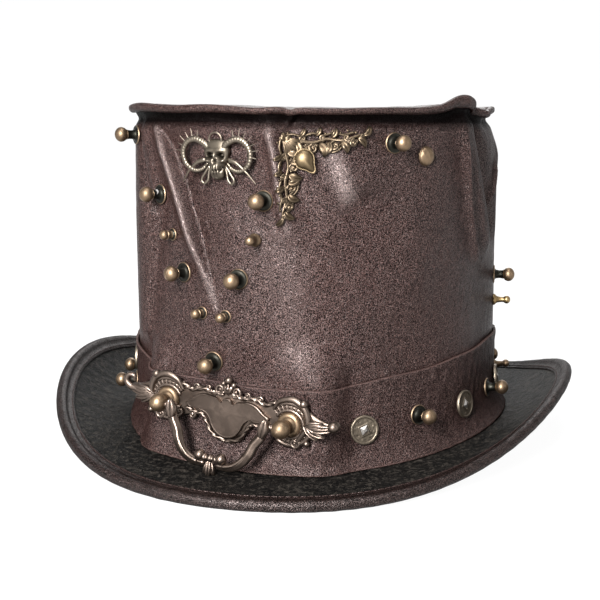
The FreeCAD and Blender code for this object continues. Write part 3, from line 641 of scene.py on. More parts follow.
# ---- materials -----------------------------------------------------------------------------------
class Graph:
    """A node material under construction. Sockets are passed about as plain values."""

    def __init__(self, name):
        self.material = bpy.data.materials.new(name)
        self.material.use_nodes = True
        self.tree = self.material.node_tree
        self.tree.nodes.clear()
        output = self.tree.nodes.new("ShaderNodeOutputMaterial")
        self.shader = self.tree.nodes.new("ShaderNodeBsdfPrincipled")
        self.tree.links.new(self.shader.outputs[0], output.inputs[0])
        self.position = self.tree.nodes.new("ShaderNodeTexCoord").outputs["Object"]

    def feed(self, socket, value):
        if isinstance(value, bpy.types.NodeSocket):
            self.tree.links.new(value, socket)
        else:
            socket.default_value = value

    def set(self, **values):
        for name, value in values.items():
            self.feed(self.shader.inputs[name.replace("_", " ")], value)
        return self

    def stretched(self, x, y, z):
        """Coordinates scaled along each axis."""
        node = self.tree.nodes.new("ShaderNodeMapping")
        self.feed(node.inputs["Vector"], self.position)
        node.inputs["Scale"].default_value = (x, y, z)
        return node.outputs[0]

    def noise(self, scale, detail=3.0, rough=0.55, bend=0.0, at=None):
        node = self.tree.nodes.new("ShaderNodeTexNoise")
        self.feed(node.inputs["Vector"], at or self.position)
        node.inputs["Scale"].default_value = scale
        node.inputs["Detail"].default_value = detail
        node.inputs["Roughness"].default_value = rough
        node.inputs["Distortion"].default_value = bend
        return node.outputs["Fac"]

    def cells(self, scale, at):
        """Distance to the nearest edge between cells."""
        node = self.tree.nodes.new("ShaderNodeTexVoronoi")
        node.feature = "DISTANCE_TO_EDGE"
        self.feed(node.inputs["Vector"], at)
        node.inputs["Scale"].default_value = scale
        return node.outputs["Distance"]

    def bands(self, direction, scale, bend=0.0):
        node = self.tree.nodes.new("ShaderNodeTexWave")
        self.feed(node.inputs["Vector"], self.position)
        node.inputs["Scale"].default_value = scale
        node.bands_direction = direction
        node.inputs["Distortion"].default_value = bend
        return node.outputs["Fac"]

    def warped(self, scale, amount):
        """Coordinates pushed about by noise."""
        node = self.tree.nodes.new("ShaderNodeTexNoise")
        self.feed(node.inputs["Vector"], self.position)
        node.inputs["Scale"].default_value = scale
        node.inputs["Detail"].default_value = 2.0
        scaled = self.tree.nodes.new("ShaderNodeVectorMath")
        scaled.operation = "MULTIPLY_ADD"
        self.feed(scaled.inputs[0], node.outputs["Color"])
        scaled.inputs[1].default_value = (amount,) * 3
        self.feed(scaled.inputs[2], self.position)
        return scaled.outputs[0]

    def ramp(self, value, *stops):
        """Value or colour stops at positions 0 to 1."""
        node = self.tree.nodes.new("ShaderNodeValToRGB")
        self.feed(node.inputs[0], value)
        elements = node.color_ramp.elements
        while len(elements) < len(stops):
            elements.new(0.5)
        for element, (at, colour) in zip(elements, stops):
            element.position = at
            element.color = (colour,) * 3 + (1,) if isinstance(colour, (int, float)) else (*colour, 1)
        return node.outputs[0]

    def math(self, operation, a, b=0.0):
        node = self.tree.nodes.new("ShaderNodeMath")
        node.operation = operation
        self.feed(node.inputs[0], a)
        self.feed(node.inputs[1], b)
        return node.outputs[0]

    def mix(self, share, a, b):
        node = self.tree.nodes.new("ShaderNodeMix")
        node.data_type = "RGBA"
        self.feed(node.inputs["Factor"], share)
        for name, value in (("A", a), ("B", b)):
            socket = [s for s in node.inputs if s.name == name and s.type == "RGBA"][0]
            self.feed(socket, (*value, 1) if isinstance(value, tuple) and len(value) == 3 else value)
        return [s for s in node.outputs if s.type == "RGBA"][0]

    def bump(self, height, distance, strength=1.0, under=None):
        node = self.tree.nodes.new("ShaderNodeBump")
        self.feed(node.inputs["Height"], height)
        node.inputs["Distance"].default_value = distance
        node.inputs["Strength"].default_value = strength
        if under is not None:
            self.feed(node.inputs["Normal"], under)
        return node.outputs[0]

    def facing(self):
        """0 where the surface faces the eye, 1 where it is seen edge on."""
        return self.tree.nodes.new("ShaderNodeLayerWeight").outputs["Facing"]

    def height(self):
        """Height above the table, in metres."""
        node = self.tree.nodes.new("ShaderNodeSeparateXYZ")
        self.feed(node.inputs[0], self.position)
        return node.outputs["Z"]

    def layer(self, name):
        """Value kept on the mesh's points."""
        node = self.tree.nodes.new("ShaderNodeAttribute")
        node.attribute_name = name
        return node.outputs["Fac"]

    def pointiness(self):
        return self.tree.nodes.new("ShaderNodeNewGeometry").outputs["Pointiness"]


METAL_GRAIN = 0.00006       # depth of the fine marks on metal, in metres
THREADS = 1400.0 / 6.0      # bands to the metre in the weave
# Colour of worn spots, also used for painted glints on the grains and painted highlights on ridges.
WEAR_AND_GLINT = (0.08, 0.048, 0.042)
# Colour mixed in as a painted highlight where the wall is glossy.
PAINTED_SHEEN_COLOUR = (0.22, 0.17, 0.16)
WELT_SHADOW_FROM, WELT_SHADOW_TO = 0.1485, 0.1515     # heights where the painted shadow under the welt starts and is full


def leather(name, dark, mid, light, cell=1250.0, rough=(0.25, 0.42), depth=0.00012, wear_and_glint=WEAR_AND_GLINT, wall=False):
    """Pebbled leather with a gloss: domed grains, dark creases between them, and light specks on the grains
    and light edges, which are partly wear and partly painted glints and painted ridge highlights.
    """
    g = Graph(name)
    pebbles = g.cells(cell, g.warped(260.0, 0.0022))
    tops = g.ramp(pebbles, (0.0, 0.0), (0.12, 0.7), (0.45, 1.0))
    puckers = g.noise(210.0, 3.0, 0.6, 0.6)
    grains = g.noise(2500.0, 2.0, 0.6)
    blotches = g.noise(24.0, 4.0, 0.6, 0.8)
    colour = g.mix(g.ramp(blotches, (0.36, 0.0), (0.66, 1.0)), mid, light)
    colour = g.mix(g.ramp(pebbles, (0.0, 1.0), (0.20, 0.0)), colour, dark)
    colour = g.mix(g.ramp(grains, (0.42, 1.0), (0.54, 0.0)), colour, dark)
    # Light specks on the grains: partly wear, partly painted glints.
    colour = g.mix(g.ramp(grains, (0.52, 0.0), (0.66, 1.0)), colour, wear_and_glint)
    # Pointy edges and ridges lightened: partly rubbed wear, partly a painted highlight on the ridges.
    worn_and_lit_edges = g.ramp(g.pointiness(), (0.52, 0.0), (0.60, 1.0))
    colour = g.mix(g.math("MULTIPLY", worn_and_lit_edges, 0.5), colour, wear_and_glint)
    roughness = g.math("ADD", g.math("MULTIPLY", g.noise(60.0, 3.0), rough[1] - rough[0]), rough[0])
    normal = g.bump(puckers, 0.0005, 1.0)
    normal = g.bump(tops, depth, 1.0, g.bump(grains, depth, 1.0, normal))
    gloss = g.ramp(g.facing(), (0.25, 0.60), (0.72, 0.06))
    shine = g.math("MULTIPLY", gloss, g.ramp(grains, (0.40, 0.10), (0.62, 1.0)))
    if wall:
        colour, roughness, shine = welt_shadow_and_sheen(g, grains, dark, colour, roughness, shine)
    g.set(Base_Color=colour, Roughness=roughness, Normal=normal, Specular_IOR_Level=shine)
    g.set(Specular_Tint=(1.0, 0.84, 0.80, 1.0))
    return g.material


def welt_shadow_and_sheen(g, grains, dark, colour, roughness, shine):
    """Painted shadow under the welt, darkening the colour and dulling the shine there; and more gloss with a
    painted highlight where the wall's sheen_and_gloss layer asks for it.
    """
    height = g.height()
    # Painted shadow under the welt: the colour darkens and the shine drops with height just under it.
    colour = g.mix(g.ramp(height, (WELT_SHADOW_FROM, 0.0), (WELT_SHADOW_TO, 1.0)), colour, dark)
    shine = g.math("MULTIPLY", shine, g.ramp(height, (WELT_SHADOW_FROM, 1.0), (WELT_SHADOW_TO, 0.1)))
    share = g.math("MULTIPLY", g.layer("sheen_and_gloss"), g.ramp(grains, (0.40, 0.12), (0.60, 1.0)))
    shine = g.math("ADD", shine, g.math("MULTIPLY", share, 0.9))
    roughness = g.math("SUBTRACT", roughness, g.math("MULTIPLY", share, 0.14))
    # Painted highlight: the colour is lightened where the gloss layer is strong.
    colour = g.mix(g.math("MULTIPLY", share, 0.45), colour, PAINTED_SHEEN_COLOUR)
    return colour, roughness, shine


def metal(name, colour, dark, rough=(0.28, 0.5), scale=900.0, grime=0.8):
    """Cast or turned metal: bright on its ridges, with dark patina in its hollows."""
    g = Graph(name)
    patches = g.noise(160.0, 4.0, 0.65, 0.6)
    hollow = g.ramp(g.pointiness(), (0.44, 1.0), (0.505, 0.0))
    stained = g.ramp(patches, (0.42, 0.35), (0.62, 0.0))
    share = g.math("MINIMUM", g.math("ADD", g.math("MULTIPLY", hollow, grime), stained), 0.95)
    shade = g.mix(share, colour, dark)
    ridge = g.ramp(g.pointiness(), (0.53, 0.0), (0.62, 1.0))
    bright = tuple(min(1.0, c * 1.45 + 0.03) for c in colour)
    shade = g.mix(g.math("MULTIPLY", ridge, 0.7), shade, bright)
    fine = g.noise(scale, 3.0, 0.6)
    roughness = g.math("ADD", g.math("MULTIPLY", fine, rough[1] - rough[0]), rough[0])
    roughness = g.math("ADD", roughness, g.math("MULTIPLY", share, 0.18))
    g.set(Base_Color=shade, Metallic=1.0, Roughness=roughness, Normal=g.bump(fine, METAL_GRAIN, 0.5))
    return g.material


def plush_material():
    """Short dark pile with streaks where the nap lies differently."""
    g = Graph("plush_pile")
    streaks = g.noise(34.0, 5.0, 0.62, 1.4)
    hairs = g.noise(1600.0, 2.0, 0.7, 0.0, g.stretched(1.0, 0.35, 1.0))
    tufts = g.noise(420.0, 4.0, 0.7, 1.0)
    nap = g.ramp(streaks, (0.38, 0.0), (0.64, 1.0))
    colour = g.mix(nap, (0.0012, 0.0012, 0.0012), (0.0042, 0.0038, 0.0034))
    colour = g.mix(g.ramp(tufts, (0.50, 0.0), (0.66, 0.9)), colour, (0.036, 0.031, 0.026))
    normal = g.bump(hairs, 0.0006, 0.8, g.bump(tufts, 0.0010, 0.8))
    g.set(Base_Color=colour, Roughness=0.6, Normal=normal, Specular_IOR_Level=0.07)
    return g.material


def woven(name, colour, second, rough=0.8):
    """Plain-woven cloth."""
    g = Graph(name)
    weave = g.math("MAXIMUM", g.bands("DIAGONAL", THREADS, 0.6), g.bands("Z", THREADS))
    blotch = g.noise(40.0, 3.0)
    shade = g.mix(g.math("MULTIPLY", weave, 0.6), second, colour)
    shade = g.mix(g.ramp(blotch, (0.4, 0.0), (0.7, 0.35)), shade, second)
    g.set(Base_Color=shade, Roughness=rough, Normal=g.bump(weave, 0.00012, 0.6), Sheen_Weight=0.15)
    return g.material


def board_material():
    g = Graph("stiff_board")
    fibres = g.noise(700.0, 4.0, 0.7, 0.5)
    colour = g.mix(fibres, (0.22, 0.19, 0.15), (0.42, 0.38, 0.31))
    g.set(Base_Color=colour, Roughness=0.9, Normal=g.bump(fibres, 0.0002, 0.6))
    return g.material


LEATHER_BROWNS = (0.0012, 0.0007, 0.0007), (0.0225, 0.0090, 0.0080), (0.036, 0.0140, 0.0118)
CROWN_LEATHER = leather("brown_leather", *LEATHER_BROWNS)
WALL_LEATHER = leather("wall_brown_leather", *LEATHER_BROWNS, wall=True)
BAND_LEATHER = leather(
    "band_brown_leather", (0.002, 0.001, 0.001), (0.019, 0.0080, 0.0072), (0.029, 0.0120, 0.0105),
    1250.0, (0.38, 0.54),
)
BINDING_LEATHER = leather(
    "binding_leather", (0.001, 0.001, 0.001), (0.004, 0.0025, 0.002), (0.008, 0.0045, 0.004),
    1100.0, (0.30, 0.46), 0.00008, (0.030, 0.017, 0.015),
)
SWEAT_LEATHER = leather(
    "sweatband_leather", (0.03, 0.018, 0.012), (0.10, 0.06, 0.038), (0.13, 0.08, 0.05), 1500.0,
    (0.4, 0.6), 0.00006, (0.18, 0.12, 0.085),
)
BRONZE = metal("antique_bronze", (0.150, 0.114, 0.093), (0.005, 0.004, 0.0035), (0.28, 0.44), 900.0, 1.1)
PALE_BRONZE = metal("pale_bronze", (0.160, 0.134, 0.104), (0.005, 0.004, 0.003), (0.30, 0.44), 900.0, 1.3)
STUD_BRONZE = metal("stud_bronze", (0.215, 0.150, 0.096), (0.03, 0.021, 0.015), (0.38, 0.52), 700.0, 0.5)
DARK_BRONZE = metal(
    "blackened_bronze", (0.034, 0.033, 0.027), (0.010, 0.0095, 0.008), (0.30, 0.46), 700.0, 0.8
)
BRASS = metal("aged_brass", (0.100, 0.073, 0.047), (0.005, 0.003, 0.002), (0.30, 0.44), 900.0, 1.5)
BOSS_BRASS = metal("boss_brass", (0.150, 0.110, 0.064), (0.03, 0.022, 0.012), (0.34, 0.46), 900.0, 0.6)
YELLOW_BRASS = metal("yellow_brass", (0.34, 0.24, 0.115), (0.05, 0.03, 0.015), (0.30, 0.44), 900.0, 0.7)
COIN_METAL = metal("worn_coin", (0.20, 0.165, 0.125), (0.02, 0.015, 0.012), (0.34, 0.5), 900.0, 0.8)
NICKEL = metal("nickel", (0.34, 0.32, 0.30), (0.05, 0.045, 0.04), (0.25, 0.42), 900.0, 0.6)
STEEL = metal("screw_steel", (0.30, 0.29, 0.28), (0.05, 0.045, 0.04), (0.3, 0.5))
PLUSH_PILE = plush_material()
UNDER_CLOTH = woven("underside_cloth", (0.035, 0.033, 0.031), (0.012, 0.011, 0.011))
LINING_CLOTH = woven("lining_cloth", (0.075, 0.066, 0.060), (0.030, 0.026, 0.024), 0.55)
STIFF_BOARD = board_material()


# ---- leather of the crown ------------------------------------------------------------------------
def turns(count):
    return np.linspace(-180, 180, count, endpoint=False)


def net(count, rows, inset, bottom, top, flared=True, power=1.0, fine=0.0):
    """Net on the wall's shape, from bottom to top, which are tables of heights by turn."""
    turn = turns(count)[:, None]
    low, high = bottom(turns(count))[:, None], top(turns(count))[:, None]
    z = low + (high - low) * steps(rows)[None, :] ** power
    wrinkle = fine * wave_sum(QUICK_WAVES, turn, z) * hardware_mask(turn, z) if fine else 0.0
    return wall_point(turn, z, inset - wrinkle, flared)


def level(height):
    return lambda turn: np.full(turn.shape, float(height))


def wall_foot(turn):
    return from_table(FOOT_TABLE, turn)


def band_foot(turn):
    return from_table(BAND_FOOT_TABLE, turn)


def brim_root(turn):
    return from_table(ROOT_TABLE, turn)


def wall_top(turn):
    """Just under the welt, dipping where the welt sags."""
    return CROWN_TOP - 1.6 + np.minimum(0.0, welt_lift(turn))


def crown_wall():
    outer = net(1080, 260, 0.0, wall_foot, wall_top, True, 1.1, 0.05)
    inner = net(1080, 130, LEATHER, wall_foot, wall_top, True, 1.1)
    sheen_and_gloss(piece("crown_leather", shell(outer, inner), "crown_wall", WALL_LEATHER))


def sheen_and_gloss(wall):
    """Marks how far each point of the wall is glossier and lightened by a painted highlight."""
    places = np.empty(len(wall.data.vertices) * 3)
    wall.data.vertices.foreach_get("co", places)
    places = places.reshape(-1, 3) / MM
    share = np.zeros(len(places))
    for path, width, strength in GLOSS_AND_SHEEN_PATHS:
        for turn, z in spline(path, 50):
            gap = np.linalg.norm(places - wall_point(turn, z, 0.0), axis=1)
            share = np.maximum(share, strength * bell(gap, width))
    layer = wall.data.attributes.new("sheen_and_gloss", "FLOAT", "POINT")
    layer.data.foreach_set("value", share)


def crown_backing():
    inset = LEATHER + WALL_GAP
    top = level(CROWN_TOP - 4.4)
    faces = [net(720, 150, inset + extra, brim_root, top, False) for extra in (0.0, STIFFENER)]
    piece("crown_backing", shell(*faces), "crown_stiffener", STIFF_BOARD)


def ruffled_lining():
    """Lining of the crown: it follows the wall, with small upright gathers."""
    inset = LEATHER + STIFFENER + WALL_GAP + LINING_GAP
    gather = 0.25 * (1 + np.cos(np.radians(90 * turns(720))))[:, None]
    faces = []
    for extra in (0.0, LINING):
        points = net(720, 150, inset + extra, level(16.0), level(CROWN_TOP - 6.0), False)
        faces.append(points - outward(turns(720))[:, None, :] * gather[..., None])
    return piece("crown_lining", shell(*faces), "lining_side", LINING_CLOTH)


def disc(low, thickness, inset, name, node, material, sag=0.0, bumps=0.0, edge_lift=0.0):
    """Flat sheet with the crown's outline, a little slack in its middle."""
    turn = turns(360)
    edge = wall_point(turn, low, inset, False)
    centre = np.array([0.0, 0.0, low])
    faces = []
    for lift in (0.0, thickness):
        share = np.linspace(1, 0.01, 46)[:, None, None]
        points = centre + (edge - centre)[None] * share
        slack = sag * (1 - share[..., 0] ** 2) - bumps * wave_sum(
            SLOW_WAVES, points[..., 0] * 1.4, points[..., 1] * 1.2
        ) * fade(share[..., 0], 0.7, 1.0)
        points[..., 2] = low + lift - slack + edge_lift * share[..., 0] ** 3
        faces.append(points)
    whole = np.concatenate([faces[0][::-1], faces[1]])
    return piece(name, rings(whole), node, material)


def tip_welt():
    """Leather turned over the tip's edge: fat above, tucked in below, with a seam near the front."""
    corners = [
        (0.0, -0.5), (1.0, 0.0), (2.1, -0.1), (2.8, -0.8), (2.9, -2.0), (2.3, -3.1), (0.9, -3.7),
        (-0.2, -2.4),
    ]
    section = spline(corners, 30, True)
    turn = turns(900)[:, None]
    out, down = section[:, 0][None, :], section[:, 1][None, :]
    pinch = 1 - 0.22 * bell(wrap(turn - 8.7), 0.9) - 0.2 * bell(wrap(turn - 71), 1.0)
    swell = 1 + 0.10 * wave_sum(SLOW_WAVES, turn, 90.0)
    swell = swell - 0.5 * bell(wrap(turn + 80), 12.0) + 0.45 * bell(wrap(turn - 77), 5.0)
    out = out * pinch * swell
    fine = 0.07 * wave_sum(QUICK_WAVES, turn, down * 3 + out * 2)
    points = wall_point(turn, CROWN_TOP - 2, -(out + fine), False)
    points[..., 2] = CROWN_TOP + down * (1 + 0.15 * (swell - 1)) + welt_lift(turn) * (1 + down / 9)
    piece("welt_roll", looped(points), "tip_welt", CROWN_LEATHER)


SEAM_TURN = -9.3            # where the ends of the band meet, over the pull


def hat_band():
    """Band of leather with a turned top edge that stands a little off the crown."""
    count, rows = 900, 64
    turn = turns(count)
    edge = band_top(turn) + 0.35 * wave_sum(SLOW_WAVES, turn, 12.0)
    edge = edge - 1.6 * bell(wrap(turn - SEAM_TURN), 0.8)
    share = steps(rows)[None, :]
    loose = 0.05 + bell(wrap(turn + 54), 9) + 0.4 * bell(wrap(turn - 90), 12)
    lift = 0.9 * fade(-share, -1.0, -0.82) * loose[:, None]
    tuck = 0.9 * bell(wrap(turn - SEAM_TURN), 1.2)[:, None] * fade(-share, -1.0, -0.72)
    roll = 0.12 * bell(share - 0.965, 0.03)
    out = (lift + roll + tuck)[..., None] * outward(turn)[:, None, :]
    outer = net(count, rows, -LEATHER - LAYER_GAP, band_foot, lambda _: edge, True, 1.0, 0.10) + out
    inner = net(count, rows, -LAYER_GAP, band_foot, lambda _: edge, True) + out
    piece("band_leather", shell(outer, inner), "hat_band", BAND_LEATHER)


LOW_STITCH, HIGH_STITCH = 2.6, 2.4      # rows of stitches, in from the sweatband's edges


def sweatband():
    """Strip inside the head opening, easing over the pull's nuts, with two rows of stitching."""
    count, rows = 540, 40
    turn = turns(count)[:, None]
    low = brim_root(turns(count))[:, None] - 0.2
    share = steps(rows)[None, :]
    z = low + (SWEATBAND_HEIGHT - low) * share
    over_nuts = NUT_BULGE * fade(np.abs(wrap(turn - PULL_TURN)), 27, 42)
    ease = 0.25 * wave_sum(SLOW_WAVES, turn, z) * fade(-share, -1.0, -0.2)
    groove = 0.22 * (bell(z - low - LOW_STITCH, 0.4) + bell(z - SWEATBAND_HEIGHT + HIGH_STITCH, 0.4))
    inner_face = wall_point(turn, z, SWEATBAND_INSET + over_nuts + ease + LEATHER - groove, False, False)
    outer_face = wall_point(turn, z, SWEATBAND_INSET + over_nuts + ease, False, False)
    shape = shell(outer_face, inner_face)
    for lower in (True, False):
        for start in np.arange(-180, 180, 2.1):
            step = start + np.linspace(0, 1.3, 4)
            base = brim_root(step) - 0.2
            at = base + LOW_STITCH if lower else np.full(4, SWEATBAND_HEIGHT - HIGH_STITCH)
            push = SWEATBAND_INSET + NUT_BULGE * fade(np.abs(wrap(step - PULL_TURN)), 27, 42) + LEATHER
            share = (at - base) / (SWEATBAND_HEIGHT - base)
            ripple = 0.25 * wave_sum(SLOW_WAVES, step, at) * fade(-share, -1.0, -0.2)
            shape.put(tube(wall_point(step, at, push + ripple + 0.05, False, False), 0.2, 5))
    piece("sweatband_leather", shape, "sweatband", SWEAT_LEATHER)


# ---- brim ------------------------------------------------------------------------------------------
def brim_sheet(top_height, bottom_height, edge_gap, fuzz=0.0, count=720, rows=60):
    turn = turns(count)[:, None]
    last = 1 - edge_gap / brim_width(turns(count))[:, None]
    share = last * steps(rows)[None, :]
    faces = []
    for height, rough in ((top_height, fuzz), (bottom_height, 0.0)):
        ripple = 0.0
        if rough:
            ripple = rough * wave_sum(QUICK_WAVES, turn, share * 60) * fade(share, 0.86, 0.97)
        faces.append(brim_point(turn + 0 * share, share, height + ripple + 0 * share))
    return shell(*faces)


def brim_cover():
    shape = brim_sheet(BOARD / 2 + LAYER_GAP / 2 + PLUSH, BOARD / 2 + LAYER_GAP / 2, 3.4, 0.10)
    return piece("brim_plush_cover", shape, "brim_plush", PLUSH_PILE)


def brim_facing():
    top = -BOARD / 2 - LAYER_GAP / 2
    shape = brim_sheet(top, top - UNDERSIDE, 3.4)
    return piece("brim_facing", shape, "brim_underside", UNDER_CLOTH)


def binding():
    """Leather strip turned over the brim's edge: a fat roll, flat legs and a row of stitches."""
    inner_half = BOARD / 2 + PLUSH + 2 * LAYER_GAP
    outer_half = inner_half + BINDING
    outer = [
        (BINDING_LEG, outer_half - 0.35), (8.4, outer_half), (7.2, outer_half + 0.1),
        (5.6, outer_half - 0.1), (4.2, outer_half + 0.05), (3.0, outer_half + 0.55),
        (1.2, outer_half + 0.35), (0.05, outer_half * 0.55), (-0.1, 0.0), (0.05, -outer_half * 0.55),
        (1.2, -outer_half - 0.2), (3.0, -outer_half - 0.3), (5.0, -outer_half), (7.4, -outer_half),
        (BINDING_LEG, -outer_half + 0.35),
    ]
    inner = [(BINDING_LEG, inner_half), (6.0, inner_half), (3.4, inner_half), (1.35, inner_half * 0.95)]
    inner += [(BINDING, inner_half * 0.45)]
    inner += [(inward, -height) for inward, height in reversed(inner)]
    turn = turns(900)[:, None]
    faces = []
    for section, fine in ((outer, 0.06), (inner, 0.0)):
        section = spline(section, 44)
        inward, height = section[:, 0][None, :], section[:, 1][None, :]
        ripple = fine * wave_sum(QUICK_WAVES, turn, inward * 2 + height * 3)
        faces.append(edge_point(turn + 0 * inward, inward + 0 * turn, height + ripple * np.sign(height)))
    shape = shell(*faces)
    for start in np.arange(-180, 180, 1.35):
        step = start + np.linspace(0, 0.9, 4)
        shape.put(tube(edge_point(step, np.full(4, 7.3), np.full(4, outer_half + 0.22)), 0.26, 5))
    piece("edge_binding", shape, "brim_binding", BINDING_LEATHER)


# ---- turned hardware -----------------------------------------------------------------------------
def plain_frame(turn, z, outset):
    """Point on the CAD's wall and its outward normal."""
    def at(t, h):
        return wall_point(t, h, -outset, True, False)

    across = at(turn + 0.8, z) - at(turn - 0.8, z)
    up = at(turn, z + 1.0) - at(turn, z - 1.0)
    return at(turn, z), unit(np.cross(across, up))


def seat_lift(turn, z, outset, radius):
    """How far a flat disc is held off the bent wall by its rim."""
    here, normal = plain_frame(turn, z, outset)
    angle = 30.0 * np.arange(12)
    rim_turn, rim_z = turn + radius * cosd(angle) / ARC_PER_DEGREE, z + radius * sind(angle)
    rim = wall_point(rim_turn, rim_z, -outset, True, False)
    return max(0.0, float(((rim - here) @ normal).max())) + 0.12


def level_axes(normal):
    """Rows: level across, up the surface, and out of it."""
    across = unit(np.cross([0.0, 0.0, 1.0], normal))
    return np.array([across, np.cross(normal, across), normal])


def spun(axes, angle):
    """Axes turned about the third of them."""
    return np.array([[cosd(angle), sind(angle), 0], [-sind(angle), cosd(angle), 0], [0, 0, 1]]) @ axes


def seat(turn, z, radius, spin=0.0):
    """Axes and origin of a fastener's base plane."""
    outset = LEATHER + LAYER_GAP if z < band_top(turn) + 2 else 0.0
    here, normal = plain_frame(turn, z, outset)
    return spun(level_axes(normal), spin), here + normal * seat_lift(turn, z, outset, radius)


def arc_points(centre, radii, start, end, count=12):
    angle = np.linspace(start, end, count)
    return [(centre[0] + radii[0] * cosd(a), centre[1] + radii[1] * sind(a)) for a in angle]


def ball_profile(flange, edge, neck, head, half, length):
    """Flange with a beaded rim, waisted neck with a ring, and an oblate head."""
    centre = length - half
    profile = [
        (0.2, 0.0), (flange - 0.3, 0.0), (flange, edge * 0.35), (flange - 0.05, edge * 0.9),
        (flange - 0.35, edge * 1.25), (flange - 0.8, edge * 1.05), (flange * 0.72, edge * 1.2),
        (neck + 0.5, edge * 1.7), (neck + 0.1, edge * 2.5), (neck - 0.1, (edge * 2.5 + centre - half) / 2),
    ]
    joint = -math.degrees(math.acos(neck / head))
    start = arc_points((0, centre), (head, half), joint, 88, 22)
    profile += [(neck + 0.05, start[0][1] - 0.5), (neck + 0.3, start[0][1] - 0.25)]
    return profile + start


def studs(name, node, places, profile, flange, material, neck=0.0, dull=()):
    """Turned studs. Flange plate and neck are blackened up to the neck's height; dull ones are bronze."""
    shape = Shape()
    turned = lathe(profile, 40)
    if neck:
        turned.darkened(lambda at: 0.3 < at[2] < neck and math.hypot(at[0], at[1]) < flange - 0.45)
    for k, (turn, z) in enumerate(places):
        axes, origin = seat(turn, z, flange)
        if k in dull:
            shape.put(lathe(profile, 40).darkened(lambda at: True), axes, origin)
        else:
            shape.put(turned, axes, origin)
    piece(name, shape, node, material, 50, STUD_BRONZE if dull else DARK_BRONZE)


SPOOL_PROFILE = [
    (0.2, 0.0), (2.5, 0.0), (2.85, 0.4), (2.85, 0.95), (2.4, 1.5), (1.9, 1.9), (1.6, 2.6), (1.42, 3.6),
    (1.3, 4.8), (1.35, 5.6), (1.7, 6.1), (1.95, 6.7), (2.0, 7.3), (1.8, 7.9), (1.5, 8.3), (1.0, 8.75),
    (0.3, 8.9),
]


def coin_face():
    """Worn holed coin: raised rim, raised square round the hole, a blank field with pits and dots."""
    sides, hole = 72, 1.9
    angle = np.linspace(0, 360, sides, endpoint=False)
    boxed = np.maximum(np.abs(cosd(angle)), np.abs(sind(angle)))
    square = hole / boxed
    rng = np.random.default_rng(5)
    pits = [
        (rng.uniform(0, 360), rng.uniform(3.2, 5.6), rng.uniform(0.15, 0.4), rng.uniform(-0.22, 0.12))
        for _ in range(46)
    ]
    rows = []
    for share in steps(30):
        r = square + (COIN_RADIUS - square) * share
        z = 0.92 + 0.30 * fade(-r, -5.55, -5.2) + 0.30 * fade(r * boxed, 2.35, 2.6)
        z = z - 0.25 * fade(-r, -6.4, -6.2)
        for a, rr, size, height in pits:
            gap2 = (r * cosd(angle) - rr * cosd(a)) ** 2 + (r * sind(angle) - rr * sind(a)) ** 2
            z = z + height * np.exp(-gap2 / size**2)
        z = z + 0.10 * cosd(12 * angle) * bell(r - 4.4, 0.4)
        rows.append(vec(r * cosd(angle), r * sind(angle), z))
    outer = rows[-1]
    back = [outer * [1, 1, 0] + [0, 0, 0.05], rows[0] * [1, 1, 0] + [0, 0, 0.05]]
    return looped(np.stack([*rows, *back]))


def faceted_nail():
    """Square nail head cut to uneven facets."""
    side = 1.72
    points = [(-side, -side, 0.3), (side, -side, 0.3), (side, side, 0.3), (-side, side, 0.3)]
    points += [(-side, -side, 1.0), (side, -side, 0.95), (side, side, 1.05), (-side, side, 1.0)]
    points += [(-0.6, -0.8, 1.75), (0.75, -0.5, 1.6), (0.5, 0.75, 1.85), (-0.7, 0.5, 1.65)]
    faces = [(3, 2, 1, 0), (8, 9, 10, 11)]
    for k in range(4):
        nxt = (k + 1) % 4
        faces += [(k, nxt, 4 + nxt, 4 + k), (4 + k, 4 + nxt, 8 + nxt, 8 + k)]
    return Shape().add(points, [[list(face)] for face in faces])


NAIL_SHANK = [(0.2, -8.4), (2.3, -8.4), (2.4, -8.0), (1.0, -7.8), (1.0, 0.5), (0.2, 0.5)]


def coins():
    discs, nails = Shape(), Shape()
    for k, (turn, z) in enumerate(COIN_BUTTONS):
        axes, origin = seat(turn, z, COIN_RADIUS, 20 + 35 * k)
        discs.put(coin_face(), axes, origin)
        nails.put(faceted_nail(), axes, origin)
        nails.put(lathe(NAIL_SHANK, 20), axes, origin)
    piece("coin_discs", discs, "coin_buttons", COIN_METAL, 60)
    piece("coin_nails", nails, "coin_brads", NICKEL, 20)


def rivet():
    profile = [(0.2, -6.0), (1.2, -6.0), (1.2, 0.0)]
    profile += [(DOME_RADIUS - 0.1, 0.0), (DOME_RADIUS, 0.15), (DOME_RADIUS - 0.15, 0.5)]
    profile += arc_points((0, 0.35), (DOME_RADIUS - 0.2, 2.35), 6, 88, 16)
    axes, origin = seat(*DOME_RIVET, DOME_RADIUS)
    shape = lathe(profile, 44).bent(lambda p: p * (1 + 0.012 * np.cos(3.1 * p[:, :1] + 1.3 * p[:, 1:2])))
    placed = Shape().put(shape, axes, origin)
    piece("dome_rivet_head", placed, "dome_rivet", STUD_BRONZE, 60)


# ---- charm: a small horned skull ----------------------------------------------------------------
# Sockets, brows, cheekbones and hollows under them: out from the middle, up, width, height, tallness.
SKULL_SIDES = [
    (2.05, 0.5, 1.15, -2.9, 1.05), (2.1, 2.15, 1.5, 0.75, 0.5), (3.4, -1.5, 1.1, 0.9, 0.6),
    (2.2, -4.3, 0.7, -0.9, 0.9),
]
# Nose, its bridge and the upper jaw: up, width, height, tallness.
SKULL_MIDDLE = [(-1.5, 0.55, -1.6, 0.8), (0.3, 0.5, 0.7, 0.9), (-4.6, 2.2, 0.7, 1.8)]


def bump_at(points, x, y, width, height, tall):
    return height * np.exp(-(((points[:, 0] - x) / width) ** 2) - (((points[:, 1] - y) / tall) ** 2))


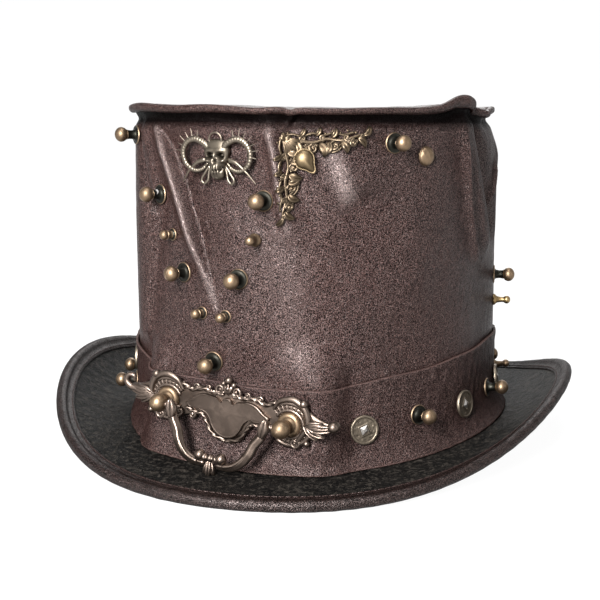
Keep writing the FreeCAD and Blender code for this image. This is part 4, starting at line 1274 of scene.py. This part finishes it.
def skull():
    """Skull of plain proportions: round cranium, deep sockets, cheekbones and a row of teeth."""
    half = [
        (0, 6.4), (2.6, 6.0), (4.4, 4.4), (5.0, 2.0), (4.6, 0.0), (4.4, -1.6), (3.6, -2.9), (2.9, -4.2),
        (2.8, -6.0), (2.3, -7.8), (1.2, -8.6), (0, -8.8),
    ]
    outline = spline(mirrored(half), 64, True)
    rows = [(1.0, 0.2), (1.0, 0.9)]
    rows += [(cosd(a), 0.9 + 2.6 * sind(a)) for a in np.linspace(8, 88, 22)]
    body = pillow(outline, rows)

    def carve(points):
        x, y, z = points.T
        front = np.clip(z / 1.2, 0, 1)
        z = z.copy()
        for side in (-1, 1):
            for at, up, wide, deep, tall in SKULL_SIDES:
                z += front * bump_at(points, side * at, up, wide, deep, tall)
        for up, wide, deep, tall in SKULL_MIDDLE:
            z += front * bump_at(points, 0, up, wide, deep, tall)
        teeth = np.cos(x * 5.2) * bell(y + 5.0, 1.5) * (np.abs(x) < 2.3)
        bite = -0.8 * bell(y + 5.0, 0.22) * (np.abs(x) < 2.4)
        z += front * (0.32 * teeth + bite)
        return np.stack([x, y, np.maximum(z, 0.1)], -1)

    return body.bent(carve)


def charm():
    shape = Shape()
    shape.put(skull().bent(lambda p: p * [1.26, 1.14, 1.05]))
    side = Shape()
    loop = spline([
        (3.4, 3.2, 1.4), (6.0, 5.6, 1.6), (10.5, 7.2, 1.6), (14.8, 5.6, 1.6), (16.9, 1.4, 1.5),
        (15.6, -3.4, 1.4), (11.6, -6.0, 1.3), (7.6, -5.4, 1.2), (5.2, -3.2, 1.0),
    ], 90)
    side.put(tube(loop, taper(90, 1.35, 0.6, 1.2), 12, False, 0.85))
    for k in range(4, 84, 3):
        side.put(tube(loop[k - 1:k + 1], (1.35 - 0.75 * (k / 90) ** 1.2) + 0.22, 12, False, 0.85))
    cross = spline([(6.6, -1.6, 1.3), (10.0, -2.8, 1.7), (14.4, -6.4, 1.6), (18.4, -11.2, 0.9)], 30)
    side.put(tube(cross, taper(30, 1.1, 0.22), 8, False, 0.7))
    drop = [
        (4.2, -4.4, 0.9), (6.4, -7.2, 1.3), (8.2, -10.0, 1.4), (7.0, -11.6, 1.3), (5.2, -10.2, 1.2),
        (4.6, -7.4, 1.0),
    ]
    side.put(tube(spline(drop, 40, True), 0.62, 8, True))
    for angle, reach in ((100, 2.6), (80, 3.2), (62, 2.6), (44, 3.2), (26, 2.4), (8, 2.8), (-12, 2.0)):
        foot = np.array([10.4 + 6.6 * cosd(angle), 1.2 + 6.4 * sind(angle), 1.6])
        tip = foot + np.array([cosd(angle), sind(angle), 0]) * (reach + 0.9)
        side.put(tube(foot + (tip - foot) * steps(6)[:, None], taper(6, 0.34, 0.12), 6))
    shape.put(both_sides(side))
    arc = np.linspace(-20, 200, 30)
    shape.put(tube(vec(3.1 * cosd(arc), 7.0 + 3.0 * sind(arc), 1.6), 0.38, 8))
    back = [(0, 4.0), (4.0, 4.6), (5.6, 1.0), (5.4, -3.0), (3.0, -6.0), (0, -7.0)]
    shape.put(pillow(spline(mirrored(back), 40, True), [(1.0, 0.0), (1.0, 0.5), (0.8, 0.8)]))
    here, normal = plain_frame(*CHARM, 0.0)
    lift = seat_lift(*CHARM, 0.0, 17.0)
    placed = Shape().put(shape, level_axes(normal), here + normal * lift)
    piece("horned_skull_charm", placed, "horned_charm", PALE_BRONZE)


# ---- corner mount ----------------------------------------------------------------------------------
def volute(x, y, radius, start, sweep, thick=0.75, out=1.0):
    """Scroll that winds in to a small ball."""
    path = spiral((x, y, out), radius, radius * 0.22, start, sweep, 30)
    shape = tube(path, taper(30, thick, thick * 0.75), 8, False, 0.9)
    return shape.put(ball((x, y, out), radius * 0.30 + 0.18, 0.9, 12))


def scroll_arm():
    """One arm of the corner mount, along +x: a run of scrolls and leaves with gaps between."""
    arm = Shape()
    spine = [
        (0.5, -1.2, 0.8), (7, -2.4, 1.0), (13, -3.6, 1.0), (19, -2.4, 1.0), (26, -3.0, 0.9),
        (32, -1.4, 0.8), (37, -0.8, 0.5),
    ]
    arm.put(tube(spline(spine, 70), taper(70, 0.95, 0.45), 8, False, 0.8))
    rail = [
        (0.5, -0.5, 0.7), (5, 0.1, 0.8), (9, -0.9, 0.8), (13, 0.2, 0.8), (17.5, -0.8, 0.8),
        (22, 0.0, 0.7), (26, -0.9, 0.7), (30, -0.1, 0.6),
    ]
    arm.put(tube(spline(rail, 60), 0.5, 8, False, 0.8))
    for x, y, radius, start, sweep in (
        (4.2, -4.4, 2.0, 80, 430), (9.2, -1.9, 1.5, -100, -420), (13.6, -6.0, 1.9, 110, 430),
        (17.4, -1.7, 1.3, -80, -400), (22.0, -5.2, 2.0, 100, 430), (27.0, -2.0, 1.2, -90, -400),
        (29.6, -4.4, 1.5, 90, 420), (33.6, -2.4, 1.1, 80, 380),
    ):
        arm.put(volute(x, y, radius, start, sweep, 0.68))
    for x, y, angle, length, width in (
        (6.5, -3.4, -38, 5.0, 1.1), (11.0, -4.6, -60, 4.6, 1.0), (16.0, -4.2, -32, 5.2, 1.2),
        (19.6, -3.6, -70, 4.8, 1.0), (24.4, -3.8, -24, 4.8, 1.0), (31.4, -2.6, -14, 4.6, 0.9),
        (34.0, -1.4, 12, 4.4, 0.8), (21.0, -1.6, 24, 3.6, 0.8), (8.0, -0.6, 20, 3.4, 0.7),
        (14.6, -0.6, 24, 3.2, 0.7),
    ):
        t = steps(12)
        bend = angle + 40 * t * np.sign(angle)
        reach = 1.1 * length * t
        path = vec(x + reach * cosd(bend), y + reach * sind(bend), 0.8 + 0.7 * hump(t))
        arm.put(leaf(path, 1.75 * width * hump(t, 0.12, 0.84), 1.0, 9, 0.4))
    for x, y, start, sweep, size in (
        (21.0, -3.6, -165, 150, 1.0), (12.0, -3.4, -150, 130, 0.8), (28.6, -2.6, -160, 140, 0.7),
    ):
        for radius in (1.5, 2.4, 3.3, 4.2):
            angle = start + sweep * steps(24)
            path = vec(x + size * radius * cosd(angle), y + size * radius * sind(angle), 1.0 - 0.06 * radius)
            arm.put(tube(path, taper(24, 0.50, 0.36), 7, False, 0.9))
    for x in np.arange(3.0, 34.0, 3.1):
        arm.put(ball((x, 0.3 - 0.5 * math.cos(x), 0.8), 0.62, 0.9, 10))
    return arm


def corner_mount():
    """Two scrolled arms and a flowered corner, all lying on the bent wall."""
    shape = Shape().put(scroll_arm())
    down = scroll_arm().bent(lambda p: np.stack([-p[:, 1], -p[:, 0], p[:, 2]], -1) * [0.95, 1.0, 1.0])
    down.faces = [face[::-1] for face in down.faces]
    shape.put(down)
    for angle in (-80, -62, -44, -26, -8, 18, 104):
        t = steps(12)
        length = 7.5 if -90 < angle < 0 else 3.0
        reach = length * t
        path = vec(1.8 + reach * cosd(angle), -1.8 + reach * sind(angle), 0.8 + 0.7 * hump(t))
        shape.put(leaf(path, 1.15 * hump(t, 0.1, 0.86), 0.8))
    shape.put(ball((1.3, -1.3, 1.2), 1.3, 0.8, 14))
    turn0, z0 = CORNER[0] + 0.2, CORNER[1] + 0.4

    def lay(points):
        turn = turn0 + points[:, 0] / 1.585
        z = z0 + points[:, 1] + 0.045 * points[:, 0]
        return wall_point(turn, z, -0.35 - points[:, 2], False, True)

    shape.bent(lay)
    piece("scrolled_corner", shape, "corner_mount", BRASS)


def drop_boss():
    """Polished drop-shaped boss in a rim, point down and to the right."""
    t = np.linspace(0, 360, 60, endpoint=False)
    r = 4.1 + 2.6 * bell(wrap(t + 52), 20)
    outline = np.stack([r * cosd(t), r * sind(t)], -1)
    rows = [(1.06, 0.0), (1.09, 0.4), (1.06, 0.8), (1.0, 0.85), (0.96, 0.7), (0.93, 0.8)]
    rows += [(0.92 * cosd(a), 0.85 + 2.1 * sind(a)) for a in np.linspace(12, 88, 14)]
    body = pillow(outline, rows)
    here, normal = plain_frame(*BOSS, 1.15)
    lift = seat_lift(*BOSS, 1.15, BOSS_RADIUS)
    placed = Shape().put(body, level_axes(normal), here + normal * lift)
    piece("drop_boss", placed, "corner_boss", BOSS_BRASS)


# ---- the pull ----------------------------------------------------------------------------------------
PULL_AXES = spun(level_axes(PULL_OUT), -PULL_TILT)
PULL_ORIGIN = PULL_MIDDLE + PULL_OUT * PLATE_STAND_OFF

PLATE_HALF = [
    (0, 9.6), (4.0, 8.4), (8.0, 7.2), (14.0, 7.6), (19.0, 6.0), (24.0, 8.6), (31.0, 9.6),
    (38.0, 7.0), (44.0, 4.4), (49.0, 3.4), (49.5, 1.8), (44.5, -0.4), (39.0, -5.6),
    (31.5, -8.6), (24.0, -6.0), (18.5, -2.8), (13.0, -4.0), (8.0, -9.6), (0, -12.6),
]
CARTOUCHE_HALF = [
    (0, 5.9), (1.7, 5.5), (3.0, 3.7), (4.6, 4.9), (7.6, 5.7), (11.4, 5.9), (15.0, 4.8), (18.0, 2.4),
    (20.6, 0.9), (19.6, -0.8), (16.6, -1.0), (13.6, -1.2), (10.8, -2.0), (8.6, -4.2), (7.0, -7.6),
    (4.6, -10.4), (2.0, -11.6), (0, -11.9),
]


def plate_side():
    """Right half of the plate's ornament."""
    side = Shape()
    rope = [(2.4, 8.2, 2.0), (7.0, 7.2, 2.2), (12.5, 8.0, 2.2), (18.0, 6.6, 2.2), (22.6, 8.4, 2.2)]
    side.put(tube(spline(rope, 70), 1.05, 12, lobes=3, lobe=0.22, twist=0.55))
    under = [
        (20.4, -2.2, 2.0), (16.0, -3.4, 2.2), (12.0, -3.8, 2.2), (9.6, -7.0, 2.2), (6.4, -11.6, 2.2),
        (0.6, -13.4, 2.0),
    ]
    side.put(tube(spline(under, 80), 0.95, 12, lobes=3, lobe=0.2, twist=0.55))
    for scroll in (
        (3.9, 9.3, 2.5, -120, 420, 0.75, 2.6), (9.4, 8.9, 1.6, -140, 400, 0.6, 2.6),
        (15.4, 8.1, 1.5, 20, 400, 0.6, 2.6), (23.6, -4.6, 2.2, 60, -430, 0.8, 2.6),
        (17.2, -4.9, 1.6, 130, 400, 0.7, 2.4),
    ):
        side.put(volute(*scroll))
    side.put(ball((2.5, 12.2, 2.6), 1.25, 0.9, 16))
    for radius, low, high, thick in ((6.5, -150, 150, 0.95), (8.2, -128, 132, 0.8), (9.9, -118, 122, 1.25)):
        arc = np.linspace(low, high, 60)
        path = vec(POST_OUT + radius * cosd(arc), 0.3 + radius * sind(arc) * 0.92, 2.5 - 0.05 * radius)
        side.put(tube(path, thick, 10, flat=0.9))
    for angle in range(-140, 150, 14):
        t = steps(8)
        r = 5.6 + 4.4 * t
        path = vec(POST_OUT + r * cosd(angle), 0.3 + r * sind(angle) * 0.92, 1.9 + 0.3 * hump(t))
        side.put(leaf(path, 0.7 + 0.35 * t, 0.9, 5))
    crest = [
        (22.6, 6.0, 2.6), (25.4, 9.8, 3.0), (31.0, 11.4, 3.0), (36.0, 9.2, 3.0), (38.2, 5.2, 2.8),
        (38.4, 1.0, 2.6), (36.4, -3.4, 2.6), (34.4, -6.6, 2.6),
    ]
    thick = np.interp(steps(80), [0, 0.25, 0.7, 1], [0.8, 1.5, 1.6, 1.0])
    side.put(tube(spline(crest, 80), thick, 12, flat=0.9))
    side.put(volute(33.2, -7.4, 2.3, 30, -440, 0.9, 2.6))
    side.put(ball((36.2, 10.4, 3.0), 1.9, 0.95, 18))
    side.put(ball((38.6, -6.6, 2.4), 1.5, 0.9, 16))
    for angle, length, width in (
        (34, 8.0, 1.5), (20, 10.8, 1.6), (4, 12.6, 1.7), (-14, 11.4, 1.7), (-34, 9.4, 1.6), (-54, 7.4, 1.5),
    ):
        t = steps(18)
        bend = angle - 16 * t * np.sign(angle - 5) * (1 if abs(angle) > 8 else 0.3)
        reach = length * t
        path = vec(37.6 + reach * cosd(bend), 0.9 + reach * sind(bend), 1.7 + 1.5 * hump(t, 0.2, 0.7))
        side.put(leaf(path, width * hump(t, 0.22, 0.66) + 0.1, 1.5, 9, 0.35))
    return side


def backplate():
    """Cast back plate: flat cartouche, rope edging, shells round the posts and leafed ends."""
    shape = Shape()
    outline = spline(mirrored(PLATE_HALF), 180, True)
    rows = [(0.99, 0.05), (1.0, 0.5), (1.0, 1.1), (0.975, 1.55), (0.9, 1.75), (0.5, 1.8), (0.1, 1.8)]
    shape.put(pillow(outline, rows))
    shape.put(both_sides(plate_side()))
    plaque = spline(mirrored(CARTOUCHE_HALF), 150, True)
    rows = [
        (1.0, 1.5), (1.0, 3.2), (0.985, 3.5), (0.955, 3.62), (0.93, 3.5), (0.9, 3.5), (0.5, 3.55), (0.1, 3.6),
    ]
    shape.put(pillow(plaque, rows, 1.5))
    for x, y, radius in ((0, 13.9, 1.75), (0, 10.3, 1.35)):
        shape.put(ball((x, y, 2.9), radius, 0.9, 18))
    for angle in (52, 90, 128):
        t = steps(12)
        path = vec(3.4 * t * cosd(angle), 7.6 + 5.6 * t * sind(angle), 2.2 + 0.8 * hump(t))
        shape.put(leaf(path, 1.0 * hump(t, 0.15, 0.8), 0.9))
    shape.put(ball((50.4, 3.2, 3.0), 2.5, 0.95, 20))
    foot = lathe([(0.2, 0.2), (2.0, 0.2), (1.7, 1.6), (1.3, 2.6), (0.2, 2.8)], 18)
    shape.put(foot.bent(lambda p: p + [50.4, 3.2, 0]))
    hook = [
        (-46.4, 1.8, 2.2), (-49.6, 2.2, 2.6), (-51.8, 4.6, 2.8), (-50.8, 7.2, 2.8), (-48.2, 7.2, 2.6),
        (-47.8, 5.4, 2.4),
    ]
    shape.put(tube(spline(hook, 50), taper(50, 1.9, 0.9), 12))
    placed = Shape().put(shape, PULL_AXES, PULL_ORIGIN)
    piece("cast_backplate", placed, "pull_backplate", BRONZE, 70)


def bail():
    """Swinging handle: leafed knuckles, fluted arms, two knobs and a leaf at the bottom."""
    shape = Shape()
    side = Shape()
    arm = [
        (22.6, -1.0, 10.6), (21.4, -5.0, 11.2), (18.8, -9.0, 12.0), (17.2, -13.0, 12.8),
        (14.4, -17.2, 13.6), (9.8, -20.2, 14.0), (4.0, -20.6, 14.2),
    ]
    thick = np.interp(steps(120), [0, 0.2, 0.5, 0.75, 1], [1.7, 2.1, 2.3, 1.9, 1.5])
    side.put(tube(spline(arm, 120), thick, 20, flat=0.92, lobes=5, lobe=0.10))
    t = steps(24)
    knuckle = vec(23.2 - 1.4 * t, 3.2 - 9.0 * t, 11.4 + 0.6 * hump(t))
    side.put(leaf(knuckle, 2.7 * hump(t, 0.10, 0.86) ** 0.8, 1.7, 11, 0.3))
    side.put(ball((23.0, 0.0, 10.5), 2.35, 0.95, 20))
    side.put(tube(vec(np.linspace(23.5, 28.6, 5), 0.0, 10.5), 0.98, 14))
    for x in (24.9, 25.7):
        side.put(tube(vec(np.linspace(x, x + 0.25, 3), 0.0, 10.5), 1.35, 16))
    side.put(ball((5.2, -17.2, 15.0), 2.5, 0.97, 24))
    vein = spline([(17.6, -11.0, 13.8), (14.6, -15.4, 14.8), (11.0, -18.6, 15.4), (6.8, -20.0, 15.6)], 24)
    side.put(tube(vein, taper(24, 0.5, 0.9), 10))
    tip = vec(1.0 + 1.5 * t, -19.8 - 5.6 * t, 14.6 + 0.8 * hump(t))
    side.put(leaf(tip, 1.2 * hump(t, 0.2, 0.74), 1.2, 9))
    shape.put(both_sides(side))
    x = np.linspace(-3.4, 3.4, 21)
    waist = 1.15 + 0.55 * np.abs(np.cos(x * 1.1)) ** 2
    shape.put(tube(vec(x, -17.8, 14.9), waist, 14))
    tongue = vec(0 * t, -19.4 - 7.4 * t, 15.0 + 0.9 * hump(t))
    shape.put(leaf(tongue, 1.8 * hump(t, 0.2, 0.76), 1.6, 11, 0.35))
    shape.put(tube(vec(np.zeros(6), np.linspace(-25.6, -27.4, 6), 14.8), taper(6, 0.9, 0.5), 12))
    placed = Shape().put(shape, PULL_AXES, PULL_ORIGIN)
    piece("swinging_bail", placed, "bail_handle", BRONZE, 70, body="bail")


# ---- finishes of the CAD nodes that stay ------------------------------------------------------------
def finish_cad_nodes():
    """Materials for the CAD nodes whose shapes are right as they are."""
    finishes = {
        "brim_board": STIFF_BOARD,
        "brim_wire": STEEL,
        "tip_stiffener": STIFF_BOARD,
        "pull_post_left": STUD_BRONZE,
        "pull_post_right": STUD_BRONZE,
        "pull_nuts": STEEL,
        "crown_ball_stud_screws": STEEL,
        "band_ball_stud_screws": STEEL,
        "small_stud_screws": STEEL,
        "spool_stud_screws": STEEL,
        "dome_rivet_cap": YELLOW_BRASS,
    }
    for name, material in finishes.items():
        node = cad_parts[name]
        node.data.materials.clear()
        node.data.materials.append(material)
        bevel = node.modifiers.new("edge", "BEVEL")
        bevel.width = 0.00012
        bevel.segments = 2
        bevel.limit_method = "ANGLE"


# ---- stage -------------------------------------------------------------------------------------------
def stage_material():
    g = Graph("stage_paper")
    fibres = g.noise(90.0, 2.0)
    g.set(Base_Color=g.mix(fibres, (0.06, 0.06, 0.06), (0.065, 0.065, 0.065)), Roughness=0.95)
    g.set(Emission_Color=(1, 1, 1, 1), Emission_Strength=0.95)
    return g.material


def make_stage():
    """Pale floor that curves up into a backdrop."""
    mesh = bpy.data.meshes.new("backdrop")
    depth = [(-3.0, 0.0), (1.2, 0.0)]
    depth += [(1.2 + 0.8 * sind(a), 0.8 - 0.8 * cosd(a)) for a in np.linspace(6, 84, 14)]
    depth += [(2.0, 1.2), (2.0, 3.5)]
    points = [(x, y, z) for y, z in depth for x in (-3.0, 3.0)]
    faces = [(2 * k, 2 * k + 1, 2 * k + 3, 2 * k + 2) for k in range(len(depth) - 1)]
    mesh.from_pydata(points, [], faces)
    mesh.polygons.foreach_set("use_smooth", [True] * len(mesh.polygons))
    mesh.materials.append(stage_material())
    backdrop = bpy.data.objects.new("backdrop", mesh)
    bpy.context.scene.collection.objects.link(backdrop)


def area_light(name, azimuth, elevation, distance, size, power):
    """Soft light aimed at the crown. Azimuth 0 is in front, positive towards +X."""
    lamp = bpy.data.lights.new(name, "AREA")
    lamp.shape = "RECTANGLE"
    lamp.size, lamp.size_y = size
    lamp.energy = power
    thing = bpy.data.objects.new(name, lamp)
    target = Vector((0, 0, 0.09))
    level_share = cosd(elevation)
    direction = Vector((sind(azimuth) * level_share, -cosd(azimuth) * level_share, sind(elevation)))
    thing.location = target + direction * distance
    thing.rotation_mode = "QUATERNION"
    thing.rotation_quaternion = direction.to_track_quat("Z", "Y")
    bpy.context.scene.collection.objects.link(thing)


def make_lights():
    world = bpy.data.worlds.new("studio")
    world.use_nodes = True
    world.node_tree.nodes["Background"].inputs["Color"].default_value = (1, 1, 1, 1)
    world.node_tree.nodes["Background"].inputs["Strength"].default_value = 0.12
    bpy.context.scene.world = world
    area_light("key", -6, 21, 1.0, (0.16, 0.50), 36.0)
    area_light("right_box", 78, 20, 1.1, (0.3, 0.9), 2.5)
    area_light("left_box", -72, 18, 1.2, (0.25, 0.8), 1.6)
    area_light("overhead", 15, 76, 1.2, (0.5, 0.5), 10.0)
    area_light("back_box", 190, 30, 1.2, (0.6, 0.6), 6.0)


CAMERA_PLACE = (0.13410, -0.53635, 0.15168)
CAMERA_LOOK = (-0.23939, 0.95744, -0.16129)
CAMERA_ROLL = 0.004
CAMERA_LENS = 64.88
CAMERA_SHIFT = -0.0298


def make_camera():
    data = bpy.data.cameras.new("camera")
    data.lens = CAMERA_LENS
    data.sensor_width = 36.0
    data.shift_x = CAMERA_SHIFT
    camera = bpy.data.objects.new("camera", data)
    look = Vector(CAMERA_LOOK).normalized()
    right = look.cross(Vector((0, 0, 1))).normalized()
    up = right.cross(look)
    side = right * math.cos(CAMERA_ROLL) + up * math.sin(CAMERA_ROLL)
    top = up * math.cos(CAMERA_ROLL) - right * math.sin(CAMERA_ROLL)
    turned = Matrix((side, top, -look)).transposed().to_4x4()
    camera.matrix_world = Matrix.Translation(Vector(CAMERA_PLACE)) @ turned
    bpy.context.scene.collection.objects.link(camera)
    bpy.context.scene.camera = camera


# ---- build -----------------------------------------------------------------------------------------
def build():
    crown_wall()
    crown_backing()
    lining = ruffled_lining()
    dip = np.minimum(0.0, welt_lift(turns(360)))
    disc(
        CROWN_TOP - 1.4, 1.4, 0.1, "tip_leather_top", "tip_leather", CROWN_LEATHER,
        1.2, 0.25, dip,
    )
    inset = LEATHER + STIFFENER + 2 * WALL_GAP + LINING_GAP + 0.45
    tip = disc(
        CROWN_TOP - 5.8, LINING, inset, "tip_lining", "lining_tip", LINING_CLOTH, 0.9, 0.3
    )
    tip_welt()
    hat_band()
    sweatband()
    brim_cover()
    brim_facing()
    binding()
    large = ball_profile(LARGE_FLANGE, 0.6, 2.1, 3.45, 3.0, 10.6)
    small = ball_profile(SMALL_FLANGE, 0.5, 1.7, 2.15, 1.9, 6.8)
    for part, places in (("crown", CROWN_BALL_STUDS), ("band", BAND_BALL_STUDS)):
        studs(f"{part}_knob_studs", f"{part}_ball_studs", places, large, LARGE_FLANGE, STUD_BRONZE, neck=5.0)
    studs("small_knob_studs", "small_studs", SMALL_STUDS, small, SMALL_FLANGE, STUD_BRONZE, neck=1.6)
    studs(
        "turned_spool_studs", "spool_studs", SPOOL_STUDS, SPOOL_PROFILE, SPOOL_FLANGE, YELLOW_BRASS,
        dull=(0, 2),
    )
    coins()
    rivet()
    charm()
    corner_mount()
    drop_boss()
    backplate()
    bail()
    finish_cad_nodes()
    make_stage()
    make_lights()
    make_camera()


build()
bpy.context.scene.view_settings.view_transform = "Standard"
bpy.context.view_layer.update()
